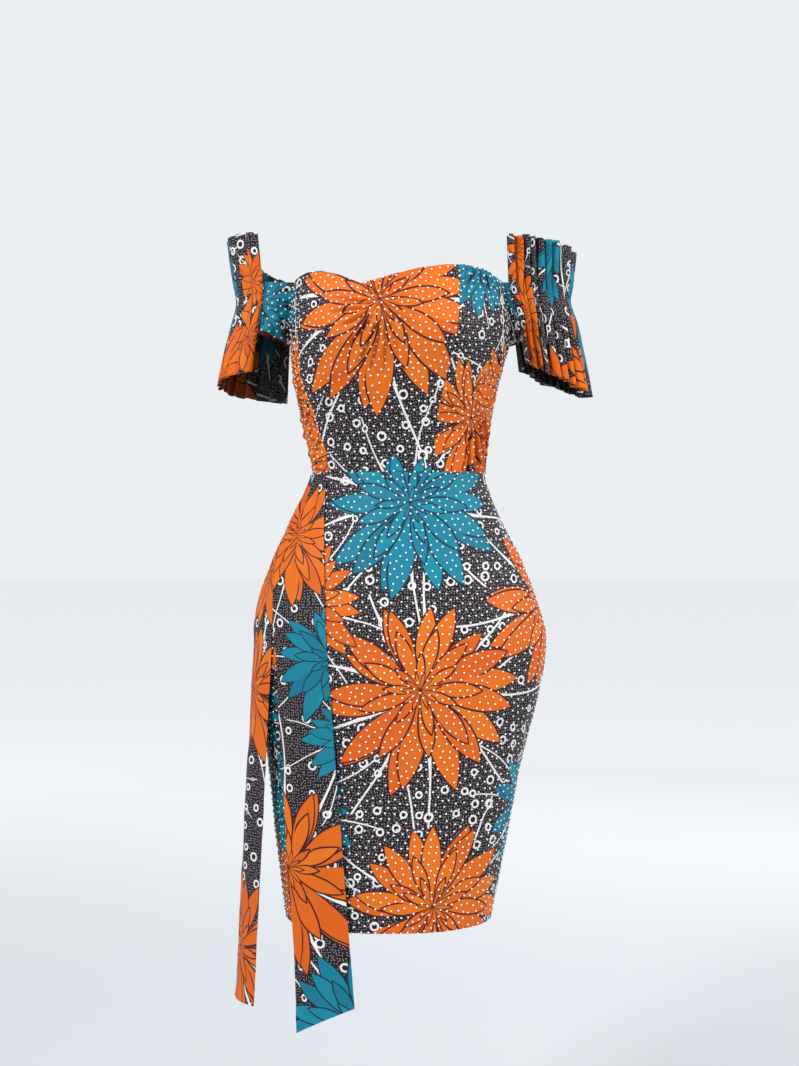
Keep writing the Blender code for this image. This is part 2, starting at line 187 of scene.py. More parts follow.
# ---- printed flowers on each panel: across and up in metres on its flat cloth, reach, kind, turn ----
ORANGE = 1.0
TEAL = 2.0
FLOWERS = {
    "bodice_front_centre": (
        (-0.023, 0.199, 0.134, ORANGE, 20), (0.010, -0.050, 0.085, TEAL, 0),
        (-0.150, 0.020, 0.050, ORANGE, 60),
    ),
    "bodice_side_front_left": (
        (-0.205, 0.215, 0.062, TEAL, 40), (-0.150, 0.090, 0.105, ORANGE, 10),
        (-0.145, -0.010, 0.085, ORANGE, 80),
    ),
    "bodice_side_front_right": (
        (0.103, 0.246, 0.066, TEAL, 15), (0.096, 0.065, 0.088, ORANGE, 35),
        (0.178, 0.090, 0.085, ORANGE, 0),
    ),
    "bodice_back_left": (
        (-0.260, 0.165, 0.105, ORANGE, 10), (-0.215, 0.030, 0.075, TEAL, 50),
        (-0.345, 0.045, 0.085, ORANGE, 25), (-0.370, 0.220, 0.070, TEAL, 0),
    ),
    "bodice_back_right": (
        (0.250, 0.060, 0.095, ORANGE, 30), (0.330, 0.160, 0.100, TEAL, 5),
        (0.210, 0.200, 0.070, ORANGE, 70), (0.375, 0.020, 0.070, ORANGE, 15),
    ),
    "skirt_front": (
        (0.013, -0.036, 0.117, TEAL, 8), (0.215, -0.152, 0.120, ORANGE, 0),
        (0.024, -0.257, 0.124, ORANGE, 12), (-0.124, -0.155, 0.086, ORANGE, 30),
        (-0.130, -0.400, 0.088, TEAL, 10), (0.200, -0.400, 0.082, TEAL, 25),
        (0.052, -0.514, 0.112, ORANGE, 40), (-0.210, -0.290, 0.070, TEAL, 0),
        (-0.190, -0.500, 0.080, ORANGE, 45),
    ),
    "skirt_back_left": (
        (-0.330, -0.060, 0.100, ORANGE, 10), (-0.215, -0.190, 0.080, TEAL, 45),
        (-0.380, -0.240, 0.115, ORANGE, 30), (-0.240, -0.370, 0.100, ORANGE, 0),
        (-0.370, -0.440, 0.090, TEAL, 20), (-0.260, -0.530, 0.085, ORANGE, 60),
    ),
    "skirt_back_right": (
        (0.215, -0.152, 0.120, ORANGE, 0), (0.350, -0.090, 0.100, TEAL, 12),
        (0.330, -0.290, 0.120, ORANGE, 25), (0.200, -0.400, 0.082, TEAL, 25),
        (0.270, -0.500, 0.095, ORANGE, 50), (0.400, -0.440, 0.080, TEAL, 0),
    ),
    "sash_tail_front": (
        (0.040, -0.076, 0.084, ORANGE, 20), (-0.006, -0.222, 0.078, TEAL, 10),
        (0.070, -0.470, 0.122, ORANGE, 15), (-0.004, -0.652, 0.098, TEAL, 35),
        (-0.026, -0.316, 0.062, TEAL, 35),
    ),
    "sash_tail_side": (
        (0.020, -0.120, 0.070, ORANGE, 0), (0.040, -0.262, 0.095, ORANGE, 30),
        (0.085, -0.380, 0.048, TEAL, 15), (0.040, -0.575, 0.110, ORANGE, 10),
        (0.010, -0.020, 0.050, TEAL, 0),
    ),
    "sleeve_band_left": (
        (0.040, 0.208, 0.066, TEAL, 30), (0.150, 0.200, 0.060, ORANGE, 0),
    ),
    "sleeve_band_right": (
        (0.000, 0.225, 0.045, TEAL, 10), (0.120, 0.190, 0.060, ORANGE, 0),
    ),
    "sleeve_pleats_left": (
        (0.020, 0.232, 0.052, ORANGE, 60), (0.012, 0.165, 0.062, ORANGE, 40),
        (0.100, 0.120, 0.085, ORANGE, 0), (0.175, 0.240, 0.080, TEAL, 20),
        (0.290, 0.140, 0.090, ORANGE, 50), (0.400, 0.230, 0.080, TEAL, 10),
    ),
    "sleeve_pleats_right": (
        (0.046, 0.270, 0.056, ORANGE, 0), (0.285, 0.282, 0.086, TEAL, 20),
        (0.070, 0.196, 0.072, ORANGE, 30), (0.235, 0.092, 0.088, ORANGE, 10),
        (0.420, 0.128, 0.110, ORANGE, 0), (0.080, 0.110, 0.060, ORANGE, 50),
        (0.560, 0.200, 0.090, TEAL, 40),
    ),
}

FLOWER_MAPS = ("under_flower", "over_flower")
CODE_STEP = 10.0          # a face's code for a flower is this times its number from 1, plus its kind
USUAL_REACH = 0.1         # of a flower, at which its outlines are as wide as stated
STEMS = 9.0
# whorls of a flower from the outside in: petals, reach, half width, turn
WHORLS = (
    (10.0, 1.00, 0.132, 0.00), (9.0, 0.97, 0.130, 0.33), (9.0, 0.68, 0.090, 0.15), (7.0, 0.42, 0.055, 0.50),
    (10.0, 0.22, 0.024, 0.10),
)

# ---- main creases: from (across, up) to (across, up) on the flat cloth, half width, height ----------
CREASE_DEPTH = 1.45       # times the heights below
# each ridge has a sharper valley beside it: its place and width in the ridge's half widths, and its depth
VALLEY_AWAY = 1.7
VALLEY_WIDTH = 0.7
VALLEY_DEPTH = 0.9
CREASES = {
    "bodice_side_front_right": (
        (0.090, 0.056, 0.074, -0.007, 0.0019, 0.0022), (0.092, 0.054, 0.081, -0.006, 0.0018, 0.0026),
        (0.094, 0.054, 0.087, -0.008, 0.0018, -0.0018), (0.096, 0.056, 0.092, -0.005, 0.0019, 0.0028),
        (0.099, 0.054, 0.098, -0.008, 0.0018, 0.0024), (0.102, 0.056, 0.104, -0.006, 0.0018, -0.0020),
        (0.104, 0.057, 0.110, -0.008, 0.0020, 0.0028), (0.107, 0.058, 0.117, -0.005, 0.0019, 0.0024),
        (0.109, 0.060, 0.124, -0.006, 0.0020, -0.0020), (0.111, 0.062, 0.131, 0.008, 0.0021, 0.0028),
        (0.113, 0.063, 0.138, 0.018, 0.0021, 0.0026), (0.114, 0.064, 0.146, 0.030, 0.0022, -0.0020),
        (0.114, 0.066, 0.150, 0.044, 0.0022, 0.0028), (0.115, 0.068, 0.154, 0.058, 0.0022, 0.0024),
        (0.115, 0.070, 0.156, 0.074, 0.0023, -0.0018), (0.114, 0.073, 0.156, 0.092, 0.0024, 0.0026),
        (0.112, 0.076, 0.154, 0.110, 0.0024, 0.0022), (0.118, 0.090, 0.160, 0.134, 0.0026, 0.0022),
        (0.088, 0.062, 0.070, 0.056, 0.0022, 0.0014), (0.146, 0.118, 0.162, 0.150, 0.0030, 0.0018),
        (0.078, 0.216, 0.092, 0.246, 0.0022, 0.0016), (0.088, 0.214, 0.097, 0.246, 0.0020, 0.0018),
        (0.098, 0.212, 0.103, 0.246, 0.0020, -0.0014), (0.108, 0.214, 0.108, 0.246, 0.0020, 0.0018),
        (0.120, 0.216, 0.114, 0.244, 0.0022, 0.0018), (0.130, 0.220, 0.119, 0.243, 0.0024, 0.0014),
    ),
    "bodice_side_front_left": (
        (-0.098, 0.004, -0.128, 0.012, 0.0020, 0.0022), (-0.100, 0.013, -0.134, 0.018, 0.0019, 0.0024),
        (-0.100, 0.023, -0.130, 0.027, 0.0019, -0.0018), (-0.101, 0.031, -0.136, 0.038, 0.0020, 0.0026),
        (-0.103, 0.041, -0.134, 0.046, 0.0019, 0.0024), (-0.105, 0.050, -0.142, 0.060, 0.0020, -0.0020),
        (-0.107, 0.059, -0.140, 0.072, 0.0020, 0.0026), (-0.110, 0.069, -0.146, 0.080, 0.0021, 0.0024),
        (-0.113, 0.078, -0.150, 0.094, 0.0021, -0.0018), (-0.118, 0.086, -0.150, 0.104, 0.0022, 0.0024),
        (-0.122, 0.098, -0.156, 0.112, 0.0022, 0.0022), (-0.128, 0.108, -0.158, 0.128, 0.0024, -0.0016),
        (-0.134, 0.118, -0.164, 0.136, 0.0024, 0.0020), (-0.140, 0.130, -0.166, 0.148, 0.0026, 0.0018),
        (-0.132, 0.026, -0.158, 0.022, 0.0024, 0.0018), (-0.136, 0.050, -0.162, 0.044, 0.0024, 0.0020),
        (-0.142, 0.074, -0.166, 0.068, 0.0026, -0.0016), (-0.118, 0.006, -0.122, 0.052, 0.0026, 0.0014),
        (-0.128, 0.046, -0.136, 0.098, 0.0028, -0.0012), (-0.150, 0.100, -0.172, 0.118, 0.0028, 0.0018),
    ),
    "bodice_front_centre": (
        (-0.030, 0.193, -0.084, 0.188, 0.0024, 0.0026), (-0.030, 0.191, -0.070, 0.171, 0.0023, 0.0030),
        (-0.028, 0.189, -0.064, 0.146, 0.0024, 0.0031), (-0.026, 0.188, -0.048, 0.128, 0.0022, 0.0034),
        (-0.024, 0.188, -0.034, 0.118, 0.0023, 0.0032), (-0.022, 0.188, -0.018, 0.116, 0.0021, 0.0034),
        (-0.020, 0.188, -0.004, 0.130, 0.0023, 0.0031), (-0.018, 0.190, 0.012, 0.148, 0.0023, 0.0030),
        (-0.016, 0.193, 0.022, 0.172, 0.0024, 0.0026), (-0.032, 0.198, -0.078, 0.206, 0.0024, 0.0022),
        (-0.014, 0.199, 0.026, 0.198, 0.0024, 0.0022), (-0.024, 0.206, -0.036, 0.222, 0.0022, 0.0020),
        (-0.018, 0.206, -0.004, 0.226, 0.0022, 0.0020), (-0.030, 0.196, -0.014, 0.198, 0.0050, 0.0026),
        (-0.098, 0.012, -0.070, 0.020, 0.0060, 0.0008), (0.040, 0.010, 0.020, 0.022, 0.0060, 0.0008),
        (-0.060, 0.070, 0.020, 0.062, 0.0090, 0.0009), (-0.090, 0.100, -0.040, 0.110, 0.0080, -0.0008),
    ),
    "bodice_back_left": (
        (-0.200, 0.020, -0.260, 0.034, 0.0050, 0.0016), (-0.205, 0.044, -0.270, 0.060, 0.0056, -0.0012),
        (-0.210, 0.070, -0.262, 0.092, 0.0050, 0.0013), (-0.300, 0.014, -0.350, 0.022, 0.0050, 0.0012),
        (-0.290, 0.036, -0.360, 0.040, 0.0060, -0.0010), (-0.220, 0.120, -0.280, 0.150, 0.0070, 0.0010),
    ),
    "bodice_back_right": (
        (0.195, 0.016, 0.250, 0.030, 0.0050, 0.0015), (0.200, 0.040, 0.270, 0.052, 0.0056, -0.0012),
        (0.206, 0.064, 0.250, 0.088, 0.0050, 0.0014), (0.300, 0.018, 0.360, 0.020, 0.0050, 0.0012),
        (0.290, 0.044, 0.350, 0.038, 0.0060, -0.0010), (0.215, 0.118, 0.270, 0.146, 0.0070, 0.0010),
    ),
    "skirt_front": (
        (-0.100, -0.020, -0.040, -0.036, 0.0070, 0.0010), (0.120, -0.026, 0.060, -0.040, 0.0070, 0.0010),
        (0.190, -0.290, 0.110, -0.276, 0.0110, 0.0014), (-0.190, -0.300, -0.110, -0.280, 0.0110, 0.0014),
        (0.170, -0.420, 0.060, -0.405, 0.0140, -0.0014), (-0.150, -0.430, -0.030, -0.415, 0.0140, 0.0012),
        (0.130, -0.545, 0.110, -0.430, 0.0160, 0.0016), (-0.110, -0.545, -0.100, -0.440, 0.0160, -0.0014),
    ),
    "skirt_back_left": (
        (-0.200, -0.022, -0.270, -0.036, 0.0070, 0.0013), (-0.300, -0.020, -0.360, -0.030, 0.0070, -0.0011),
        (-0.240, -0.300, -0.380, -0.285, 0.0120, 0.0018), (-0.250, -0.345, -0.380, -0.330, 0.0130, -0.0014),
        (-0.250, -0.440, -0.300, -0.545, 0.0160, 0.0016),
    ),
    "skirt_back_right": (
        (0.200, -0.024, 0.260, -0.036, 0.0070, 0.0013), (0.300, -0.018, 0.370, -0.032, 0.0070, -0.0011),
        (0.240, -0.305, 0.380, -0.288, 0.0120, 0.0018), (0.250, -0.352, 0.380, -0.335, 0.0130, -0.0014),
        (0.240, -0.450, 0.280, -0.545, 0.0160, 0.0016),
    ),
    "sash_tail_front": (
        (0.030, -0.004, 0.036, -0.120, 0.0050, 0.0030), (0.050, -0.004, 0.052, -0.090, 0.0040, -0.0020),
        (0.014, -0.350, 0.020, -0.480, 0.0120, 0.0020), (0.050, -0.500, 0.046, -0.640, 0.0130, 0.0022),
    ),
    "sash_tail_side": (
        (0.026, -0.004, 0.030, -0.130, 0.0050, 0.0028), (0.048, -0.004, 0.050, -0.090, 0.0040, -0.0020),
        (0.036, -0.300, 0.030, -0.520, 0.0140, 0.0030), (0.055, -0.480, 0.060, -0.640, 0.0130, -0.0022),
    ),
    "sleeve_band_left": (
        (0.004, 0.210, 0.030, 0.216, 0.0040, 0.0012), (0.006, 0.190, 0.032, 0.180, 0.0045, 0.0014),
        (0.010, 0.172, 0.034, 0.166, 0.0040, -0.0010),
    ),
    "sleeve_band_right": (
        (0.004, 0.212, 0.026, 0.216, 0.0040, 0.0012), (0.004, 0.192, 0.028, 0.182, 0.0045, 0.0014),
    ),
}


# ---- numbers and surfaces -----------------------------------------------------------------------------
def linear(text):
    """sRGB hex text as linear red, green and blue."""
    values = [int(text[i:i + 2], 16) / 255 for i in (1, 3, 5)]
    return tuple(v / 12.92 if v <= 0.04045 else ((v + 0.055) / 1.055) ** 2.4 for v in values)


def eased(table, where):
    """Columns of a table at places (its first column), by a smooth curve through its rows."""
    rows = table[np.argsort(table[:, 0])]
    at = np.clip(where, rows[0, 0], rows[-1, 0])
    i = np.clip(np.searchsorted(rows[:, 0], at, side="right") - 1, 0, len(rows) - 2)
    low, high = rows[i], rows[i + 1]
    before, after = rows[np.maximum(i - 1, 0)], rows[np.minimum(i + 2, len(rows) - 1)]
    span = (high[..., 0] - low[..., 0])[..., None]
    t = (at[..., None] - low[..., :1]) / span
    slope_low = (high - before)[..., 1:] / (high - before)[..., :1] * span
    slope_high = (after - low)[..., 1:] / (after - low)[..., :1] * span
    return (
        low[..., 1:] * (2 * t ** 3 - 3 * t ** 2 + 1) + high[..., 1:] * (3 * t ** 2 - 2 * t ** 3)
        + slope_low * (t ** 3 - 2 * t ** 2 + t) + slope_high * (t ** 3 - t ** 2)
    )


def straight(table, where):
    """Second column of a table at places, by straight lines."""
    rows = np.array(sorted(table))
    return np.interp(where, rows[:, 0], rows[:, 1])


def body_points(angle, height):
    """Points of the worn dress at angles from the front (degrees, towards +X) and heights."""
    left, right, front, back = np.moveaxis(eased(SECTIONS, height), -1, 0)
    turn = np.radians(angle)
    across = np.sign(np.sin(turn)) * np.abs(np.sin(turn)) ** (2 / SQUARENESS)
    ahead = np.sign(np.cos(turn)) * np.abs(np.cos(turn)) ** (2 / SQUARENESS)
    x = (left + right) / 2 + across * (right - left) / 2
    y = -ahead * np.where(ahead > 0, front, back)
    for cup_x, cup_z in CUPS:
        away = ((x - cup_x) / CUP_WIDTH) ** 2 + ((height - cup_z) / CUP_HEIGHT) ** 2
        y = y - CUP_DEPTH * np.clip(ahead * 2, 0, 1) * np.exp(-away)
    return np.stack([x, y, height], axis=-1)


def unit(vectors):
    """Vectors at length one."""
    return vectors / np.maximum(np.linalg.norm(vectors, axis=-1, keepdims=True), 1e-9)


ANGLE_STEP = 0.7          # small steps, in degrees and metres
HEIGHT_STEP = 0.003


def body_normals(angle, height):
    """Outward directions of the worn dress, from points a small step to each side."""
    along = body_points(angle + ANGLE_STEP, height) - body_points(angle - ANGLE_STEP, height)
    up = body_points(angle, height + HEIGHT_STEP) - body_points(angle, height - HEIGHT_STEP)
    return unit(np.cross(along, up))


# heights and angles at which the length round the dress is worked out
ARC_HEIGHTS = np.linspace(HEM, 0.26, 200)
ARC_ANGLES = np.linspace(-180, 180, 361)


def arc_table():
    """Length round the dress from the middle of the front, for every height and angle above."""
    angle, height = np.meshgrid(ARC_ANGLES, ARC_HEIGHTS)
    points = body_points(angle, height)
    steps = np.linalg.norm(np.diff(points, axis=1), axis=2)
    lengths = np.concatenate([np.zeros((len(ARC_HEIGHTS), 1)), np.cumsum(steps, axis=1)], axis=1)
    middle = len(ARC_ANGLES) // 2
    return lengths - lengths[:, middle:middle + 1]


ARCS = arc_table()


def arc(angle, height):
    """Length round the dress from the middle of the front, at angles and heights."""
    row = np.interp(height, ARC_HEIGHTS, np.arange(len(ARC_HEIGHTS)))
    column = np.interp(angle, ARC_ANGLES, np.arange(len(ARC_ANGLES)))
    r = np.clip(row.astype(int), 0, len(ARC_HEIGHTS) - 2)
    c = np.clip(column.astype(int), 0, len(ARC_ANGLES) - 2)
    fr, fc = row - r, column - c
    top = ARCS[r, c] * (1 - fc) + ARCS[r, c + 1] * fc
    low = ARCS[r + 1, c] * (1 - fc) + ARCS[r + 1, c + 1] * fc
    return top * (1 - fr) + low * fr


def spline_points(points, shares):
    """Points at shares of the way along a smooth curve through points."""
    lengths = np.concatenate([[0], np.cumsum(np.linalg.norm(np.diff(points, axis=0), axis=1))])
    target = np.clip(shares, 0, 1) * lengths[-1]
    i = np.clip(np.searchsorted(lengths, target, side="right") - 1, 0, len(points) - 2)
    padded = np.vstack([2 * points[0] - points[1], points, 2 * points[-1] - points[-2]])
    p0, p1, p2, p3 = padded[i], padded[i + 1], padded[i + 2], padded[i + 3]
    t = ((target - lengths[i]) / (lengths[i + 1] - lengths[i]))[..., None]
    return 0.5 * (
        p1 * 2 + (p2 - p0) * t + (p0 * 2 - p1 * 5 + p2 * 4 - p3) * t ** 2
        + (p1 * 3 - p0 - p2 * 3 + p3) * t ** 3
    )


def crease_height(name, across, up):
    """How far the cloth of a piece stands out or in at its creases, and its soft unevenness."""
    out = np.zeros_like(across)
    for u0, v0, u1, v1, width, height in CREASES.get(name, ()):
        run = np.array((u1 - u0, v1 - v0))
        t = ((across - u0) * run[0] + (up - v0) * run[1]) / (run @ run)
        side = ((up - v0) * run[0] - (across - u0) * run[1]) / np.hypot(*run)
        fade = np.sin(pi * np.clip(t, 0, 1)) ** 0.5
        ridge = np.exp(-(side / width) ** 2)
        valley = np.exp(-((side - VALLEY_AWAY * width) / (VALLEY_WIDTH * width)) ** 2)
        out += height * CREASE_DEPTH * (ridge - VALLEY_DEPTH * valley) * fade
    out += 0.00035 * np.sin(across * 95 + up * 38 + 1.3) * np.sin(up * 71 - across * 24)
    out += 0.00022 * np.sin(across * 211 - up * 97 + 0.4) * np.sin(up * 163 + across * 61 + 2.0)
    return out


def edge_shares(count, length):
    """Shares of a length with closer ones at both ends, for the rolled edges of a panel."""
    close = np.array((0.0, 0.25, 0.6, 1.0, 1.6)) * (EDGE_REACH / length)
    inner = np.linspace(close[-1], 1 - close[-1], count)
    return np.concatenate([close[:-1], inner, (1 - close[:-1])[::-1]])


def edge_roll(shares, length, depth):
    """How far an edge turns in at the seams at both ends of a run of shares."""
    away = np.minimum(shares, 1 - shares) * length
    return -depth * np.exp(-(away / EDGE_SOFTNESS) ** 2)


# ---- making cloth ---------------------------------------------------------------------------------------
def cloth_mesh(name, points, flat):
    """Grid of quads with its flat cloth map in metres and its flower maps; rows go up, faces out."""
    rows, columns = points.shape[:2]
    index = np.arange(rows * columns).reshape(rows, columns)
    corners = [index[:-1, :-1], index[:-1, 1:], index[1:, 1:], index[1:, :-1]]
    quads = np.stack(corners, axis=-1).reshape(-1, 4)
    mesh = bpy.data.meshes.new(name)
    mesh.from_pydata(points.reshape(-1, 3), [], quads.tolist())
    places = flat.reshape(-1, 2)[quads]
    middle = places.mean(axis=1)
    flowers = np.array(FLOWERS[name])
    beside, above = middle[:, None, 0] - flowers[:, 0], middle[:, None, 1] - flowers[:, 1]
    away = np.hypot(beside, above) / flowers[:, 2]
    nearest = np.sort(np.argsort(away, axis=1)[:, :2], axis=1)
    layers = [("cloth", places)]
    for slot, layer in enumerate(FLOWER_MAPS):
        chosen = flowers[nearest[:, slot]]
        x, y = np.moveaxis((places - chosen[:, None, :2]) / chosen[:, None, 2:3], -1, 0)
        c, s = np.cos(np.radians(chosen[:, 4:5])), np.sin(np.radians(chosen[:, 4:5]))
        layers.append((layer, np.stack([x * c + y * s, y * c - x * s], axis=-1)))
    code = flowers[nearest, 3] + CODE_STEP * (nearest + 1)
    layers.append(("kind", np.repeat(code[:, None, :], 4, axis=1)))
    for layer, values in layers:
        mesh.uv_layers.new(name=layer).data.foreach_set("uv", values.reshape(-1).astype(np.float32))
    mesh.shade_smooth()
    return mesh


def cloth_piece(name, points, flat, materials):
    """Thin shell of cloth in place of the solid of the same name, which it hides."""
    piece = bpy.data.objects.new(name + "_cloth", cloth_mesh(name, points, flat))
    bpy.context.scene.collection.objects.link(piece)
    for cloth in materials:
        piece.data.materials.append(cloth)
    shell = piece.modifiers.new("cloth", "SOLIDIFY")
    shell.thickness = bpy.context.scene.dress_sizes.cloth
    shell.offset = -1.0           # the wrong side lies inwards, in its own print darkened as painted shade
    shell.material_offset = 1
    shell.use_even_offset = False
    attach(piece, BODY)
    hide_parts(name)


def body_piece(name, angle, height, shares_across, shares_up, materials):
    """Panel over the worn form, rolled in at its seams, with its creases."""
    across = arc(angle, height)
    width = np.abs(across[:, -1] - across[:, 0]).max()
    tall = np.abs(height[-1] - height[0]).max()
    sides = edge_roll(shares_across, width, SIDE_ROLL)[None, :]
    roll = sides + edge_roll(shares_up, tall, END_ROLL)[:, None]
    out = crease_height(name, across, height) + roll
    points = body_points(angle, height) + body_normals(angle, height) * out[..., None]
    flat = np.stack([across, height], axis=-1)
    cloth_piece(name, points, flat, materials)


# ---- bodice and skirt -----------------------------------------------------------------------------------
def side_edge(sign, towards):
    """Side seam up to the underarm, then the armhole edge: towards -1 is the front, 1 the back."""
    return lambda height, share: sign * (SIDE_SEAM + towards * straight(ARMHOLE, share))


def seam(table):
    """A princess seam as angles up the bodice."""
    return lambda height, share: straight(table, height)


def fixed(angle):
    """A seam that keeps one angle all the way up."""
    return lambda height, share: np.full_like(height, angle)


BODICE = {
    # name: left edge, right edge, columns
    "bodice_front_centre": (seam(PRINCESS_LEFT), seam(PRINCESS_RIGHT), 96),
    "bodice_side_front_left": (side_edge(-1, -1), seam(PRINCESS_LEFT), 66),
    "bodice_side_front_right": (seam(PRINCESS_RIGHT), side_edge(1, -1), 100),
    "bodice_back_left": (fixed(-180.0), side_edge(-1, 1), 48),
    "bodice_back_right": (side_edge(1, 1), fixed(180.0), 48),
}
BODICE_ROWS = 110
USUAL_WIDTH = 0.12        # of a bodice panel, for the spacing of the points at its edges
USUAL_HEIGHT = 0.23


def make_bodice(materials):
    """Centre front, two side fronts and two backs."""
    for name, (left_edge, right_edge, columns) in BODICE.items():
        shares_across = edge_shares(columns, USUAL_WIDTH)
        shares_up = edge_shares(BODICE_ROWS, USUAL_HEIGHT)
        first, last = (float(edge(np.array(PRINCESS_TOP), np.array(1.0))) for edge in (left_edge, right_edge))
        top = straight(NECKLINE, first + (last - first) * shares_across)
        split = UNDERARM / BODICE_TOP
        below = np.minimum(shares_up / split, 1)[:, None]
        above = np.clip((shares_up - split) / (1 - split), 0, 1)[:, None]
        height = UNDERARM * below + (top[None, :] - UNDERARM) * above
        share = np.broadcast_to(above, height.shape)
        start, end = left_edge(height, share), right_edge(height, share)
        angle = start + (end - start) * shares_across[None, :]
        body_piece(name, angle, height, shares_across, shares_up, materials)


SKIRT = {
    "skirt_front": (-SIDE_SEAM, SIDE_SEAM, 118),
    "skirt_back_left": (-180.0, -SIDE_SEAM, 60),
    "skirt_back_right": (SIDE_SEAM, 180.0, 60),
}
SKIRT_ROWS = 130
DEGREES_A_METRE = 330.0   # round the hips, about


def make_skirt(materials):
    """One front and two backs."""
    for name, (start, end, columns) in SKIRT.items():
        shares_across = edge_shares(columns, (end - start) / DEGREES_A_METRE)
        shares_up = edge_shares(SKIRT_ROWS, -HEM)
        height = np.broadcast_to((HEM * (1 - shares_up))[:, None], (len(shares_up), len(shares_across)))
        angle = np.broadcast_to((start + (end - start) * shares_across)[None, :], height.shape)
        body_piece(name, angle, height, shares_across, shares_up, materials)


# ---- sash tails -----------------------------------------------------------------------------------------
TAILS = {
    "sash_tail_front": (FRONT_TAIL, FRONT_TAIL_HANG, FRONT_TAIL_ENDS),
    "sash_tail_side": (SIDE_TAIL, SIDE_TAIL_HANG, SIDE_TAIL_ENDS),
}
TAIL_COLUMNS = 22
TAIL_ROWS = 150


def make_tails(materials):
    """Two flat tails: over the skirt down to the hip, then hanging free."""
    for name, (table, hang, ends) in TAILS.items():
        shares_across = edge_shares(TAIL_COLUMNS, TAIL_WIDTH)
        shares_up = edge_shares(TAIL_ROWS, TAIL_LENGTH)
        across = (1 - shares_across)[None, :]
        end = ends[0] + (ends[1] - ends[0]) * across
        height = end + (TAIL_TOP - end) * shares_up[:, None]
        resting = np.maximum(height, HIP)
        front_edge, back_edge = np.moveaxis(eased(table, resting), -1, 0)
        angle = front_edge + (back_edge - front_edge) * across
        outward = body_normals(angle, resting)
        belly = TAIL_BELLY * np.sin(pi * resting / HIP) * across
        flat = np.stack([np.broadcast_to(across * TAIL_WIDTH, height.shape), height], axis=-1)
        out = TAIL_STAND_OFF + belly + crease_height(name, flat[..., 0], height)
        below = resting - height
        points = body_points(angle, resting) + outward * out[..., None]
        points[..., 0] += (hang[0] + (hang[1] - hang[0]) * across) * below
        points[..., 1] += hang[2] * across * below
        points[..., 2] = height
        cloth_piece(name, points, flat, materials)


# ---- sleeves --------------------------------------------------------------------------------------------
SIDES = {"left": -1.0, "right": 1.0}
BAND_COLUMNS = 84
BAND_ROWS = 26


def band_curve(side, height):
    """Plan of a sleeve band at a height: from the front of the armhole round the arm to its back."""
    sign = SIDES[side]
    points = []
    for towards in (-1.0, 1.0):
        top = straight(NECKLINE, sign * (SIDE_SEAM + towards * ARMHOLE[-1][1]))
        share = max(0.0, (height - UNDERARM) / (top - UNDERARM))
        angle = SIDE_SEAM + towards * straight(ARMHOLE, share)
        points.append(body_points(np.array(sign * angle), np.array(height)))
    turns = np.radians(BAND_ANGLES)
    arm = np.stack([
        ARM_X[side] + sign * ARM_HALF_WIDTH * np.sin(turns), -ARM_HALF_DEPTH * np.cos(turns),
        np.full(len(turns), height),
    ], axis=1)
    return np.vstack([points[0][None], arm, points[1][None]])


def band_points(side, shares, height):
    """Points of a band and their outward directions, for shares along it at one height."""
    curve = band_curve(side, height)
    along = spline_points(curve, shares + 0.01) - spline_points(curve, shares - 0.01)
    outward = np.stack([along[:, 1] * SIDES[side], -along[:, 0] * SIDES[side], np.zeros(len(shares))], axis=1)
    return spline_points(curve, shares), unit(outward)


def sleeve_piece(name, points, flat, materials):
    """Cloth of a sleeve; the left one runs the other way round, so its columns are turned about."""
    if name.endswith("left"):
        points, flat = points[:, ::-1], flat[:, ::-1]
    cloth_piece(name, points, flat, materials)


def make_bands(materials):
    """Upper arm bands, puffed out a little where the pleats don't cover them."""
    for side in SIDES:
        name = "sleeve_band_" + side
        shares = edge_shares(BAND_COLUMNS, BAND_LENGTH)
        shares_up = edge_shares(BAND_ROWS, BAND_DEEP)
        round_arm = np.minimum(1.0, BAND_RUN_IN * np.minimum(shares, 1 - shares))
        low = BAND_LOW[0] + (BAND_LOW[1] - BAND_LOW[0]) * round_arm
        middle = spline_points(band_curve(side, BAND_MIDDLE), shares)
        length = np.linalg.norm(np.diff(middle, axis=0), axis=1).sum()
        points = np.zeros((len(shares_up), len(shares), 3))
        flat = np.zeros((len(shares_up), len(shares), 2))
        for r, up in enumerate(shares_up):
            height = low + (BAND_HIGH - low) * up
            for c, share in enumerate(shares):
                here, outward = band_points(side, np.array((share,)), height[c])
                bare = max(0.0, 1 - abs(share - PUFF_MIDDLE[side]) / PUFF_REACH[side])
                puff = PUFF_HEIGHT[side] * bare * np.sin(pi * up ** 0.8) ** 0.8
                out = puff + crease_height(name, np.array(share * length), np.array(height[c]))
                points[r, c] = here[0] + outward[0] * (out - BAND_SINK)
                flat[r, c] = (share * length, height[c])
        sleeve_piece(name, points, flat, materials)


def pleat_steps(pleats):
    """Pleat number, share of its pitch and share of its depth, for the points across a panel."""
    steps = [(number, *point) for number in range(pleats) for point in KNIFE_PLEAT]
    number, along, fold = np.array([*steps, (pleats - 1, *LAST_FOLD)]).T
    return number.astype(int), along, fold


